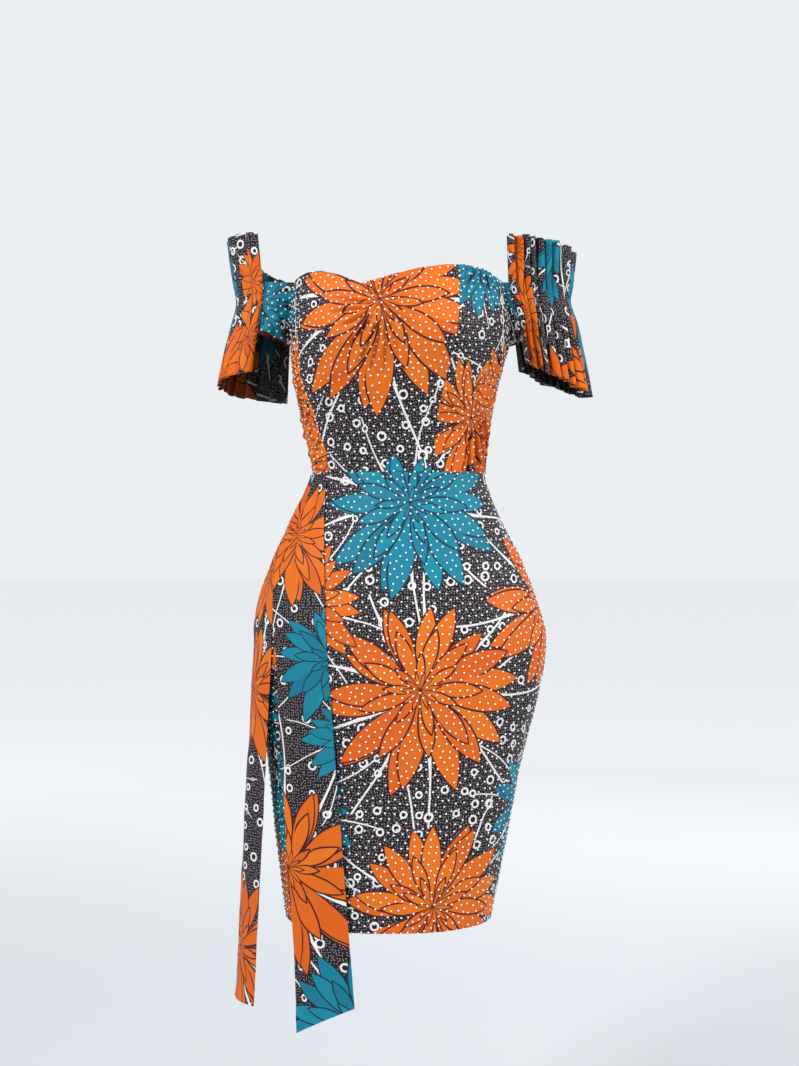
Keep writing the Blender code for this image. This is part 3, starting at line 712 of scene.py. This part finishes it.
def make_pleats(materials):
    """Knife-pleated panels, stitched flat across the bands, standing above and flaring below."""
    sizes = bpy.context.scene.dress_sizes
    chance = np.random.default_rng(PLEAT_SEED)
    heights = np.concatenate([np.linspace(*stretch) for stretch in PANEL_ROWS])
    for side, sign in SIDES.items():
        name = "sleeve_pleats_" + side
        start, end = PANEL_REACH[side]
        pleats = sizes.wide_pleats if side == "left" else sizes.fine_pleats
        deeper = WIDE_PLEAT_DEPTH if side == "left" else sizes.pleat_depth
        number, along, fold = pleat_steps(pleats)
        bolder = chance.uniform(*PLEAT_BOLDNESS, pleats)[number]
        ragged = chance.uniform(*RAGGED_HEM, pleats)[number]
        wander, phase, _ = chance.uniform(-1.0, 1.0, (3, pleats))[:, number]
        points = np.zeros((len(heights), len(number), 3))
        for r, z in enumerate(heights):
            depth, out, sway, outer_drop, back_drop = eased(PANEL_SECTIONS[side], np.array(z))
            loose = np.clip(abs(z - PLEAT_LINE) / LOOSE_REACH, 0, 1)
            slip = wander * PLEAT_WANDER * loose * np.sin(z * PLEAT_WAVE + phase * 3)
            share = np.clip((number + along + slip) / pleats, 0, 1)
            drop = np.interp(share, (0, 0.5, 1), (0, outer_drop, back_drop))
            near_end = np.clip(1 - END_SLOPE * (1 - np.abs(2 * share - 1)), 0, 1)
            flared = np.clip((PANEL_FLARE - z) / (PANEL_FLARE - PANEL_LOW), 0, 1)
            shorter = END_RISE[side] * near_end * flared
            band_height = float(np.clip(z, BAND_LOW[1], BAND_HIGH))
            here, outward = band_points(side, start + (end - start) * share, band_height)
            sunk = PLEAT_SINK + DEEPER_INWARD * depth * (deeper - 1)
            rise = out - sunk + depth * deeper * fold * (1 + (bolder - 1) * loose)
            points[r] = here + outward * rise[:, None]
            points[r, :, 0] += sign * sway
            points[r, :, 2] = z - drop + shorter + ragged * (loose if z > PLEAT_LINE else 0.6 * loose)
        run = np.linalg.norm(np.diff(points[PRINT_ROW], axis=0), axis=1)
        tucked = np.where(np.diff(along) < 0, sizes.tucked, 1.0)
        across = np.concatenate([[0], np.cumsum(run * tucked)])
        flat = np.stack(np.broadcast_arrays(across[None, :], heights[:, None]), axis=-1)
        sleeve_piece(
            name, points, flat, materials,
        )


# ---- materials ------------------------------------------------------------------------------------------
def plug(tree, socket, value):
    """Links an output, or a node's first output in use, to a socket, or sets the socket to a value."""
    if isinstance(value, bpy.types.Node):
        value = next(output for output in value.outputs if output.enabled)
    if isinstance(value, bpy.types.NodeSocket):
        tree.links.new(value, socket)
    elif value is not None:
        socket.default_value = value


def add(tree, kind, settings=None, *inputs):
    """Adds a node, sets it and plugs its inputs in use, in order or, from a dictionary, by name."""
    made = tree.nodes.new(kind)
    for key, value in (settings or {}).items():
        setattr(made, key, value)
    if inputs and isinstance(inputs[0], dict):
        wanted = [(made.inputs[name], value) for name, value in inputs[0].items()]
    else:
        wanted = list(zip((socket for socket in made.inputs if socket.enabled), inputs))
    for socket, value in wanted:
        plug(tree, socket, value)
    return made


def new_group(name, kind, inputs, outputs):
    """Empty node group with its sockets, given as name and kind, and what it is given."""
    group = bpy.data.node_groups.new(name, kind)
    for in_out, sockets in (("INPUT", inputs), ("OUTPUT", outputs)):
        for socket, data in sockets.items():
            group.interface.new_socket(socket, in_out=in_out, socket_type="NodeSocket" + data)
    return group, group.nodes.new("NodeGroupInput").outputs


def new_material(name):
    """New material, its node tree and its shader."""
    made = bpy.data.materials.new(name)
    made.use_nodes = True
    return made, made.node_tree, made.node_tree.nodes["Principled BSDF"]


MATH = "ShaderNodeMath"
MIX = "ShaderNodeMix"
COLOUR = {"data_type": "RGBA"}
CELLS = "ShaderNodeTexVoronoi"
FLAT_CELLS = {"voronoi_dimensions": "2D"}
LENGTH = {"operation": "LENGTH"}
SUM = {"operation": "ADD"}
LESS = {"operation": "SUBTRACT"}
TIMES = {"operation": "MULTIPLY"}
TIMES_PLUS = {"operation": "MULTIPLY_ADD"}
OVER = {"operation": "DIVIDE"}
BELOW = {"operation": "LESS_THAN"}
ABOVE = {"operation": "GREATER_THAN"}
LARGER = {"operation": "MAXIMUM"}
ROUNDED = {"operation": "ROUND"}
SINE = {"operation": "SINE"}
COSINE = {"operation": "COSINE"}
SIZE = {"operation": "ABSOLUTE"}


def polar(group, place):
    """Distance from a flower's heart and the angle round it."""
    parts = add(group, "ShaderNodeSeparateXYZ", None, place).outputs
    radius = add(group, "ShaderNodeVectorMath", LENGTH, place)
    return radius, add(group, MATH, {"operation": "ARCTAN2"}, parts["Y"], parts["X"])


def spoke(group, sector, count, seed):
    """Number of the nearest petal or stem, and three random numbers of its own."""
    number = add(group, MATH, ROUNDED, sector)
    wrapped = add(group, MATH, {"operation": "FLOORED_MODULO"}, number, count)
    label = add(group, "ShaderNodeCombineXYZ", None, add(group, MATH, ROUNDED, wrapped), seed)
    noise = add(group, "ShaderNodeTexWhiteNoise", {"noise_dimensions": "2D"}, label)
    return number, add(group, "ShaderNodeSeparateColor", None, noise.outputs["Color"]).outputs


def whorl_group():
    """Node group for one ring of petals round a flower's heart, on coordinates where its reach is 1."""
    group, given = new_group("petal_whorl", "ShaderNodeTree", {
        "Place": "Vector", "Petals": "Float", "Reach": "Float", "Width": "Float", "Turn": "Float",
        "Seed": "Float", "Outline": "Float",
    }, {"Inside": "Float", "Line": "Float", "Tone": "Float"})
    radius, angle = polar(group, given["Place"])
    per_turn = add(group, MATH, OVER, given["Petals"], tau)
    sector = add(group, MATH, TIMES, add(group, MATH, SUM, angle, given["Turn"]), per_turn)
    petal, chance = spoke(group, sector, given["Petals"], given["Seed"])

    # each petal leans and bends a little, and the lower ones of a whorl are longer
    lean = add(group, MATH, TIMES_PLUS, chance[0], 0.36, -0.18)
    aside = add(group, MATH, LESS, add(group, MATH, LESS, sector, petal), lean)
    bent = add(group, MATH, TIMES_PLUS, radius, 0.10, add(group, MATH, OVER, aside, per_turn))
    axis = add(group, MATH, LESS, add(group, MATH, OVER, petal, per_turn), given["Turn"])
    lopsided = add(group, MATH, TIMES_PLUS, add(group, MATH, SINE, axis), -0.10, 0.85)
    uneven = add(group, MATH, TIMES_PLUS, chance[1], 0.18, lopsided)
    reach = add(group, MATH, TIMES, uneven, given["Reach"])

    # its outline: widest past the middle, with a point at both ends
    ahead = add(group, MATH, TIMES, radius, add(group, MATH, COSINE, bent))
    along = add(group, MATH, {"operation": "DIVIDE", "use_clamp": True}, ahead, reach)
    across = add(group, MATH, SIZE, add(group, MATH, TIMES, radius, add(group, MATH, SINE, bent)))
    swell = add(group, MATH, {"operation": "POWER"}, along, 1.30)
    profile = add(group, MATH, SINE, add(group, MATH, TIMES, swell, pi))
    round_tip = add(group, MATH, {"operation": "POWER"}, profile, 0.82)
    half = add(group, MATH, TIMES, add(group, MATH, TIMES, round_tip, given["Width"]), uneven)
    edge = add(group, MATH, LESS, half, across)
    inside = add(group, MATH, ABOVE, edge, 0.0)

    # the line inside it is finer towards the heart
    finer = add(group, MATH, {"operation": "MULTIPLY_ADD", "use_clamp": True}, radius, 3.2, 0.13)
    drawn = add(group, MATH, TIMES, finer, given["Outline"])
    line = add(group, MATH, TIMES, inside, add(group, MATH, BELOW, edge, drawn))
    add(group, "NodeGroupOutput", None, inside, line, chance[2])
    return group


def stem_group():
    """Node group for the white stems that run out between the petals, each with a ringed node on it."""
    group, given = new_group(
        "flower_stems", "ShaderNodeTree", {"Place": "Vector", "Seed": "Float"}, {"Mask": "Float"},
    )
    radius, angle = polar(group, given["Place"])
    sector = add(group, MATH, TIMES_PLUS, angle, STEMS / tau, 0.3)
    stem, chance = spoke(group, sector, STEMS, given["Seed"])

    # each stem leans and waves, and narrows from the heart outwards
    lean = add(group, MATH, TIMES_PLUS, chance[0], 0.5, -0.25)
    off_axis = add(group, MATH, LESS, add(group, MATH, LESS, sector, stem), lean)
    aside = add(group, MATH, TIMES, off_axis, tau / STEMS)
    phase = add(group, MATH, TIMES, chance[1], tau)
    wave = add(group, MATH, SINE, add(group, MATH, TIMES_PLUS, radius, 3.0, phase))
    bent = add(group, MATH, TIMES_PLUS, wave, 0.05, aside)
    ahead = add(group, MATH, TIMES, radius, add(group, MATH, COSINE, bent))
    across = add(group, MATH, TIMES, radius, add(group, MATH, SINE, bent))
    half = add(group, MATH, LARGER, add(group, MATH, TIMES_PLUS, ahead, -0.036, 0.041), 0.0095)
    reach = add(group, MATH, TIMES_PLUS, chance[2], 0.80, 1.30)
    narrow = add(group, MATH, BELOW, add(group, MATH, SIZE, across), half)
    stroke = add(group, MATH, TIMES, narrow, add(group, MATH, BELOW, ahead, reach))

    # the ring of its node, empty inside
    node_at = add(group, MATH, TIMES_PLUS, reach, 0.62, 0.40)
    beside = add(group, "ShaderNodeCombineXYZ", None, add(group, MATH, LESS, ahead, node_at), across)
    from_node = add(group, "ShaderNodeVectorMath", LENGTH, beside)
    off_ring = add(group, MATH, SIZE, add(group, MATH, LESS, from_node, 0.036))
    on_ring = add(group, MATH, BELOW, off_ring, 0.011)
    bare = add(group, MATH, TIMES, stroke, add(group, MATH, ABOVE, from_node, 0.028))
    add(group, "NodeGroupOutput", None, add(group, MATH, LARGER, bare, on_ring))
    return group


def flower_group():
    """Node group that lays one printed flower, whorl over whorl towards its heart, over a colour."""
    whorl = whorl_group()
    group, given = new_group("printed_flower", "ShaderNodeTree", {
        "Place": "Vector", "Seed": "Float", "Outline": "Float", "Under": "Color", "Dye": "Color",
        "Light": "Color", "Line": "Color",
    }, {"Color": "Color"})
    surface = given["Under"]
    for number, (petals, reach, width, turn) in enumerate(WHORLS):
        seed = add(group, MATH, SUM, given["Seed"], 4.0 * number)
        ring = add(group, "ShaderNodeGroup", {"node_tree": whorl}, given["Place"], petals, reach, width,
                   turn, seed, given["Outline"]).outputs
        tone = add(group, MIX, COLOUR, ring["Tone"], given["Dye"], given["Light"])
        lined = add(group, MIX, COLOUR, ring["Line"], tone, given["Line"])
        surface = add(group, MIX, COLOUR, ring["Inside"], surface, lined)
    add(group, "NodeGroupOutput", None, surface)
    return group


# free printed rings: share of the places that have one, then shares of the ring's size: radius of the
# smallest line, how much larger it can be, half its width, and reach of the clear ground round it
RINGS_SHOWN = 0.68
RING_SMALLEST = 0.34
RING_SPREAD = 0.16
RING_LINE = 0.125
RING_CLEAR = 0.62


def print_cloth(name, shade):
    """Wax print cotton: plain woven, dyed through, with a faint glaze.

    The eye sees flat saturated petals with dark outlines on a near-black ground full of pale specks.
    shade is how much of its dyes' colour this side of the cloth gives back; the wrong side's low shade is
    painted shade.
    """
    sizes = bpy.context.scene.dress_sizes
    colours = bpy.context.scene.dress_colours
    made, tree, shader = new_material(name)
    flower = bpy.data.node_groups.get("printed_flower") or flower_group()
    stems = bpy.data.node_groups.get("flower_stems") or stem_group()
    cloth = add(tree, "ShaderNodeUVMap", {"uv_map": "cloth"})
    kind = add(tree, "ShaderNodeSeparateXYZ", None, add(tree, "ShaderNodeUVMap", {"uv_map": "kind"}))
    dyes = {key: (*(c * shade for c in getattr(colours, key)), 1.0) for key in colours.__annotations__}

    # ground with specks, and free rings on it
    specks = add(tree, CELLS, FLAT_CELLS, {
        "Vector": cloth, "Scale": 1 / sizes.speck_spacing, "Randomness": 0.62,
    })
    speck = add(tree, MATH, BELOW, specks, sizes.speck / 2 / sizes.speck_spacing)
    rings = add(tree, CELLS, FLAT_CELLS, {
        "Vector": cloth, "Scale": 1 / sizes.ring_spacing, "Randomness": 0.85,
    })
    chance = add(tree, "ShaderNodeSeparateColor", None, rings.outputs["Color"]).outputs
    near = add(tree, MATH, TIMES, rings, sizes.ring_spacing)
    radius = add(tree, MATH, TIMES_PLUS, chance[1], sizes.ring * RING_SPREAD, sizes.ring * RING_SMALLEST)
    off_ring = add(tree, MATH, SIZE, add(tree, MATH, LESS, near, radius))
    there = add(tree, MATH, BELOW, chance[0], RINGS_SHOWN)
    pale = add(tree, MATH, TIMES, add(tree, MATH, BELOW, off_ring, sizes.ring * RING_LINE), there)
    clear = add(tree, MATH, TIMES, add(tree, MATH, BELOW, near, sizes.ring * RING_CLEAR), there)
    shown_speck = add(tree, MATH, TIMES, speck, add(tree, MATH, LESS, 1.0, clear))
    surface = add(tree, MIX, COLOUR, shown_speck, dyes["ground"], dyes["specks"])

    # the two nearest flowers: their stems under both, then one over the other
    flowers = []
    for axis, layer in enumerate(FLOWER_MAPS):
        place = add(tree, "ShaderNodeUVMap", {"uv_map": layer})
        code = add(tree, MATH, ROUNDED, kind.outputs[axis])
        seed = add(tree, MATH, {"operation": "FLOOR"}, add(tree, MATH, OVER, code, CODE_STEP))
        dye_code = add(tree, MATH, {"operation": "MODULO"}, code, CODE_STEP)
        is_teal = add(tree, MATH, ABOVE, dye_code, (ORANGE + TEAL) / 2)
        pale = add(tree, MATH, LARGER, pale, add(tree, "ShaderNodeGroup", {"node_tree": stems}, place, seed))
        flowers.append((place, seed, is_teal))
    surface = add(tree, MIX, COLOUR, pale, surface, dyes["stems"])
    for place, seed, is_teal in flowers:
        dye, light, line = (
            add(tree, MIX, COLOUR, is_teal, dyes["orange" + part], dyes["teal" + part])
            for part in ("", "_light", "_line")
        )
        surface = add(tree, "ShaderNodeGroup", {"node_tree": flower}, place, seed,
                      sizes.outline / USUAL_REACH, surface, dye, light, line)
    plug(tree, shader.inputs["Base Color"], surface)

    # plain weave, drawn coarser than real thread so that it shows, and small handling creases
    threads = (1 / sizes.weave, 1 / sizes.weave, 1.0)
    scaled = add(tree, "ShaderNodeMapping", None, {"Vector": cloth, "Scale": threads})
    weave = add(tree, "ShaderNodeTexChecker", None, {"Vector": scaled, "Scale": 1.0})
    crumple = add(tree, "ShaderNodeTexNoise", {"noise_dimensions": "2D"}, {
        "Vector": cloth, "Scale": 70.0, "Detail": 3.0,
    })
    relief = add(tree, MATH, TIMES_PLUS, weave.outputs["Fac"], 0.05, crumple)
    bump = add(tree, "ShaderNodeBump", None, {"Strength": 0.14, "Distance": 0.003, "Height": relief})
    plug(tree, shader.inputs["Normal"], bump)
    shader.inputs["Roughness"].default_value = 0.62
    shader.inputs["Specular IOR Level"].default_value = 0.22
    return made


# right side and wrong side of the cloth: the print is dyed through, so the wrong side's much darker share is
# painted shade
SHADES = {"wax_print_cotton": 0.70, "wax_print_cotton_wrong_side": 0.20}


def both_sides():
    """Right side and wrong side of the cloth, made once."""
    return [bpy.data.materials.get(name) or print_cloth(name, shade) for name, shade in SHADES.items()]


def bead_material():
    """White glass beads: pressed, smooth and hard.  The eye sees small bright grains, not all one white."""
    made, tree, shader = new_material("white_glass_bead")
    place = add(tree, "ShaderNodeTexCoord").outputs["Object"]
    patchy = add(tree, "ShaderNodeTexNoise", None, {"Vector": place, "Scale": 300.0, "Detail": 1.0})
    tints = [(*linear(text), 1.0) for text in ("#e4e1dc", "#d5dade")]
    plug(tree, shader.inputs["Base Color"], add(tree, MIX, COLOUR, patchy, *tints))
    shader.inputs["Roughness"].default_value = 0.22
    shader.inputs["Coat Weight"].default_value = 0.3
    return made


# distances from the dress over which the floor goes from its grey to its white
FLOOR_GREYEST = 1.6
FLOOR_WHITEST = 5.2


def floor_paint():
    """Matt white paint, rolled on: no shine and hardly mottled.

    It is greyer near the dress, where the lamps are close, so that the eye sees one even pale floor.
    """
    made, tree, shader = new_material("matt_white_paint")
    place = add(tree, "ShaderNodeTexCoord").outputs["Object"]
    away = add(tree, "ShaderNodeVectorMath", LENGTH, place)
    mottle = add(tree, "ShaderNodeTexNoise", None, {"Vector": place, "Scale": 2.0, "Detail": 2.0})
    far = add(tree, MATH, TIMES_PLUS, mottle, 0.10, away)
    white = add(tree, "ShaderNodeMapRange", {"interpolation_type": "SMOOTHSTEP"}, far, FLOOR_GREYEST,
                FLOOR_WHITEST, 0.0, 1.0)
    tints = [(*linear(text), 1.0) for text in ("#b4b8bd", "#f9fafc")]
    plug(tree, shader.inputs["Base Color"], add(tree, MIX, COLOUR, white, *tints))
    shader.inputs["Roughness"].default_value = 0.9
    return made


# ---- beads ----------------------------------------------------------------------------------------------
BEADS_TRIED = 90000.0     # places tried for each square metre before the least spacing thins them
BEAD_SEED = 11
BEADED = {
    # panel: its finish
    "bodice_front_centre": "print_bodice", "bodice_side_front_left": "print_bodice",
    "bodice_side_front_right": "print_bodice", "skirt_front": "print_skirt",
    "sleeve_band_left": "print_sleeve", "sleeve_band_right": "print_sleeve",
}
# how far along a band its beads reach, before the pleats cover it
BARE_REACH = {"sleeve_band_left": 0.062, "sleeve_band_right": 0.030}


def bead_tree():
    """Geometry nodes that sew beads over a panel at a least spacing, and realize them."""
    tree, given = new_group("sewn_beads", "GeometryNodeTree", {
        "Cloth": "Geometry", "Spacing": "Float", "Diameter": "Float", "Seed": "Int",
    }, {"Beads": "Geometry"})
    scatter = add(tree, "GeometryNodeDistributePointsOnFaces", {"distribute_method": "POISSON"}, {
        "Mesh": given["Cloth"], "Distance Min": given["Spacing"], "Density Max": BEADS_TRIED,
        "Seed": given["Seed"],
    })
    radius = add(tree, MATH, TIMES, given["Diameter"], 0.5)
    ball = add(tree, "GeometryNodeMeshUVSphere", None, {"Segments": 8, "Rings": 4, "Radius": radius})
    lift = add(tree, "ShaderNodeCombineXYZ", None, {"Z": add(tree, MATH, TIMES, radius, 0.45)})
    flatter = add(tree, "GeometryNodeTransform", None, {
        "Geometry": ball, "Translation": lift, "Scale": (1.0, 1.0, 0.62),
    })
    place = add(tree, "GeometryNodeInstanceOnPoints", None, {
        "Points": scatter, "Instance": flatter, "Rotation": scatter.outputs["Rotation"],
    })
    real = add(tree, "GeometryNodeRealizeInstances", None, place)
    glass = add(tree, "GeometryNodeSetMaterial", None, {"Geometry": real, "Material": bead_material()})
    add(tree, "NodeGroupOutput", None, glass)
    return tree


def keep_bare_part(mesh, reach):
    """Leaves only the part of a band's mesh within reach of its front armhole edge."""
    shape = bmesh.new()
    shape.from_mesh(mesh)
    flat = shape.loops.layers.uv["cloth"]
    covered = [face for face in shape.faces if face.loops[0][flat].uv.x > reach]
    bmesh.ops.delete(shape, geom=covered, context="FACES")
    shape.to_mesh(mesh)
    shape.free()


def sew_beads():
    """Beads over the front of the bodice and skirt and on the bands, one mesh for each panel."""
    sizes = bpy.context.scene.dress_sizes
    tree = bead_tree()
    for number, (name, finish) in enumerate(BEADED.items()):
        cloth = bpy.data.objects[name + "_cloth"]
        ground = bpy.data.objects.new(name + "_ground", cloth.data.copy())
        if name in BARE_REACH:
            keep_bare_part(ground.data, BARE_REACH[name])
        bpy.context.scene.collection.objects.link(ground)
        layer = ground.modifiers.new("beads", "NODES")
        layer.node_group = tree
        wanted = {"Spacing": sizes.bead_spacing, "Diameter": sizes.bead, "Seed": BEAD_SEED + number}
        for item in tree.interface.items_tree:
            if item.name in wanted:
                layer[item.identifier] = wanted[item.name]
        ready = ground.evaluated_get(bpy.context.evaluated_depsgraph_get())
        mesh = bpy.data.meshes.new_from_object(ready)
        beads = bpy.data.objects.new(name + "_beads", mesh)
        bpy.context.scene.collection.objects.link(beads)
        bpy.data.objects.remove(ground)
        mesh.shade_smooth()
        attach(beads, BODY)


# ---- stage ----------------------------------------------------------------------------------------------
CAMERA_DISTANCE = 1.90
CAMERA_HEIGHT = -0.073
VIEW_HEIGHT = 1.3218      # height of what the camera sees at the middle of the dress
SENSOR = 36.0             # millimetres, along the view's longer side
FLOOR = -1.02
FLOOR_RADIUS = 30.0
LAMPS = (
    # name, place, side in metres, watts
    ("key", (-1.7, -2.4, 1.9), 0.6, 88.0), ("side", (2.5, -1.1, 1.0), 0.6, 46.0),
    ("back", (0.8, 2.6, 1.6), 1.2, 60.0),
)


def make_camera():
    """Camera level with the hips."""
    scene = bpy.context.scene
    camera = bpy.data.objects.new("camera", bpy.data.cameras.new("camera"))
    camera.data.sensor_width = SENSOR
    camera.data.lens = SENSOR * CAMERA_DISTANCE / VIEW_HEIGHT
    camera.data.clip_end = 100.0
    camera.location = (0.0, -CAMERA_DISTANCE, CAMERA_HEIGHT)
    camera.rotation_euler = (pi / 2, 0.0, 0.0)
    scene.collection.objects.link(camera)
    scene.camera = camera


def make_lights():
    """Pale even surroundings, and three soft square lamps turned to the waist."""
    scene = bpy.context.scene
    world = bpy.data.worlds.new("studio")
    world.use_nodes = True
    sky = world.node_tree.nodes["Background"]
    sky.inputs["Color"].default_value = (*linear("#f9fcff"), 1.0)
    sky.inputs["Strength"].default_value = 0.88
    scene.world = world
    for name, place, side, power in LAMPS:
        lamp = bpy.data.lights.new(name, "AREA")
        lamp.size = side
        lamp.energy = power
        lamp.color = (1.0, 0.985, 0.96)
        light = bpy.data.objects.new(name, lamp)
        light.location = place
        x, y, z = place
        light.rotation_euler = (pi / 2 - atan(z / hypot(x, y)), 0.0, atan2(-y, -x) - pi / 2)
        scene.collection.objects.link(light)


def make_floor():
    """Wide round floor."""
    maker = bmesh.new()
    bmesh.ops.create_circle(maker, cap_ends=True, radius=FLOOR_RADIUS, segments=96)
    bmesh.ops.translate(maker, verts=maker.verts, vec=(0.0, 0.0, FLOOR))
    mesh = bpy.data.meshes.new("floor")
    maker.to_mesh(mesh)
    maker.free()
    mesh.materials.append(floor_paint())
    floor = bpy.data.objects.new("floor", mesh)
    bpy.context.scene.collection.objects.link(floor)


def make_stage():
    """Camera, pale floor and soft studio light."""
    make_camera()
    make_lights()
    make_floor()
    bpy.context.scene.view_settings.view_transform = "Standard"


# ---- add-on ---------------------------------------------------------------------------------------------
def length(name, text, value):
    """A length property in metres."""
    return FloatProperty(name=name, description=text, default=value, min=0.0, unit="LENGTH", precision=5)


def colour(name, text, value):
    """A colour property, from sRGB hex."""
    return FloatVectorProperty(
        name=name, description=text, default=linear(value), size=3, subtype="COLOR", min=0.0, max=1.0,
    )


class DressSizes(bpy.types.PropertyGroup):
    """Sizes of the cloth, the print, the pleats and the beads."""

    cloth: length("Cloth", "Thickness of the cotton", 0.0006)
    weave: length("Weave", "Spacing of the threads as drawn", 0.0007)
    speck: length("Speck", "Diameter of a printed speck", 0.0012)
    speck_spacing: length("Speck spacing", "Spacing of the printed specks", 0.0033)
    ring: length("Ring", "Outer diameter of a printed ring", 0.0095)
    ring_spacing: length("Ring spacing", "Spacing of the free printed rings", 0.0240)
    outline: length("Outline", "Width of a petal's outline", 0.0017)
    bead: length("Bead", "Diameter of a bead", 0.0026)
    bead_spacing: length("Bead spacing", "Least spacing of the beads", 0.0072)
    pleat_depth: FloatProperty(
        name="Right pleat depth", description="Times as deep as on the solid", default=2.8,
    )
    tucked: FloatProperty(
        name="Tucked", description="Times more print in the hidden part of a fold", default=3.6,
    )
    wide_pleats: IntProperty(
        name="Left pleats", description="Wide pleats in the left panel", default=13, min=4, max=40,
    )
    fine_pleats: IntProperty(
        name="Right pleats", description="Fine pleats in the right panel", default=24, min=4, max=40,
    )


class DressColours(bpy.types.PropertyGroup):
    """Dyes of the print."""

    ground: colour("Ground", "Near-black ground", "#1c161b")
    specks: colour("Specks", "Pale specks", "#b4a9af")
    stems: colour("Stems", "White stems and rings", "#f6f4f3")
    orange: colour("Orange", "Orange petals", "#e3620b")
    orange_light: colour("Light orange", "Lightest orange petals", "#ee7912")
    orange_line: colour("Orange outline", "Outlines of orange petals", "#4a0f12")
    teal: colour("Teal", "Teal petals", "#05768f")
    teal_light: colour("Light teal", "Lightest teal petals", "#088ea8")
    teal_line: colour("Teal outline", "Outlines of teal petals", "#0b2d44")


class DRESS_OT_bodice(bpy.types.Operator):
    """Cut and shape the princess bodice"""

    bl_idname = "dress.bodice"
    bl_label = "Bodice"

    def execute(self, context):
        make_bodice(both_sides())
        return {"FINISHED"}


class DRESS_OT_skirt(bpy.types.Operator):
    """Cut and shape the pencil skirt"""

    bl_idname = "dress.skirt"
    bl_label = "Skirt"

    def execute(self, context):
        make_skirt(both_sides())
        return {"FINISHED"}


class DRESS_OT_tails(bpy.types.Operator):
    """Hang the two sash tails"""

    bl_idname = "dress.tails"
    bl_label = "Sash tails"

    def execute(self, context):
        make_tails(both_sides())
        return {"FINISHED"}


class DRESS_OT_sleeves(bpy.types.Operator):
    """Make the arm bands and their pleated panels"""

    bl_idname = "dress.sleeves"
    bl_label = "Sleeves"

    def execute(self, context):
        make_bands(both_sides())
        make_pleats(both_sides())
        return {"FINISHED"}


class DRESS_OT_beads(bpy.types.Operator):
    """Sew the beads on the front"""

    bl_idname = "dress.beads"
    bl_label = "Beads"

    def execute(self, context):
        if "skirt_front_cloth" not in bpy.data.objects:
            raise RuntimeError("the panels come before their beads")
        sew_beads()
        return {"FINISHED"}


class DRESS_OT_stage(bpy.types.Operator):
    """Set the camera, the lights and the floor"""

    bl_idname = "dress.stage"
    bl_label = "Stage"

    def execute(self, context):
        make_stage()
        return {"FINISHED"}


OPERATORS = (
    DRESS_OT_bodice, DRESS_OT_skirt, DRESS_OT_tails, DRESS_OT_sleeves, DRESS_OT_beads, DRESS_OT_stage,
)


class DRESS_PT_panel(bpy.types.Panel):
    """Sidebar panel with the dress's sizes, dyes and steps"""

    bl_idname = "DRESS_PT_panel"
    bl_label = "Wax print dress"
    bl_space_type = "VIEW_3D"
    bl_region_type = "UI"
    bl_category = "Dress"

    def draw(self, context):
        for group in (context.scene.dress_sizes, context.scene.dress_colours):
            for key in group.__annotations__:
                self.layout.prop(group, key)
        for operator in OPERATORS:
            self.layout.operator(operator.bl_idname)


CLASSES = (DressSizes, DressColours, *OPERATORS, DRESS_PT_panel)


def register():
    """Register the classes and give the scene its properties."""
    for each in CLASSES:
        bpy.utils.register_class(each)
    bpy.types.Scene.dress_sizes = PointerProperty(type=DressSizes)
    bpy.types.Scene.dress_colours = PointerProperty(type=DressColours)


def unregister():
    """Take them away again."""
    del bpy.types.Scene.dress_sizes
    del bpy.types.Scene.dress_colours
    for each in reversed(CLASSES):
        bpy.utils.unregister_class(each)


def main():
    """Make the whole dress."""
    register()
    bpy.ops.dress.bodice()
    bpy.ops.dress.skirt()
    bpy.ops.dress.tails()
    bpy.ops.dress.sleeves()
    bpy.ops.dress.beads()
    bpy.ops.dress.stage()


if __name__ == "__main__":
    main()
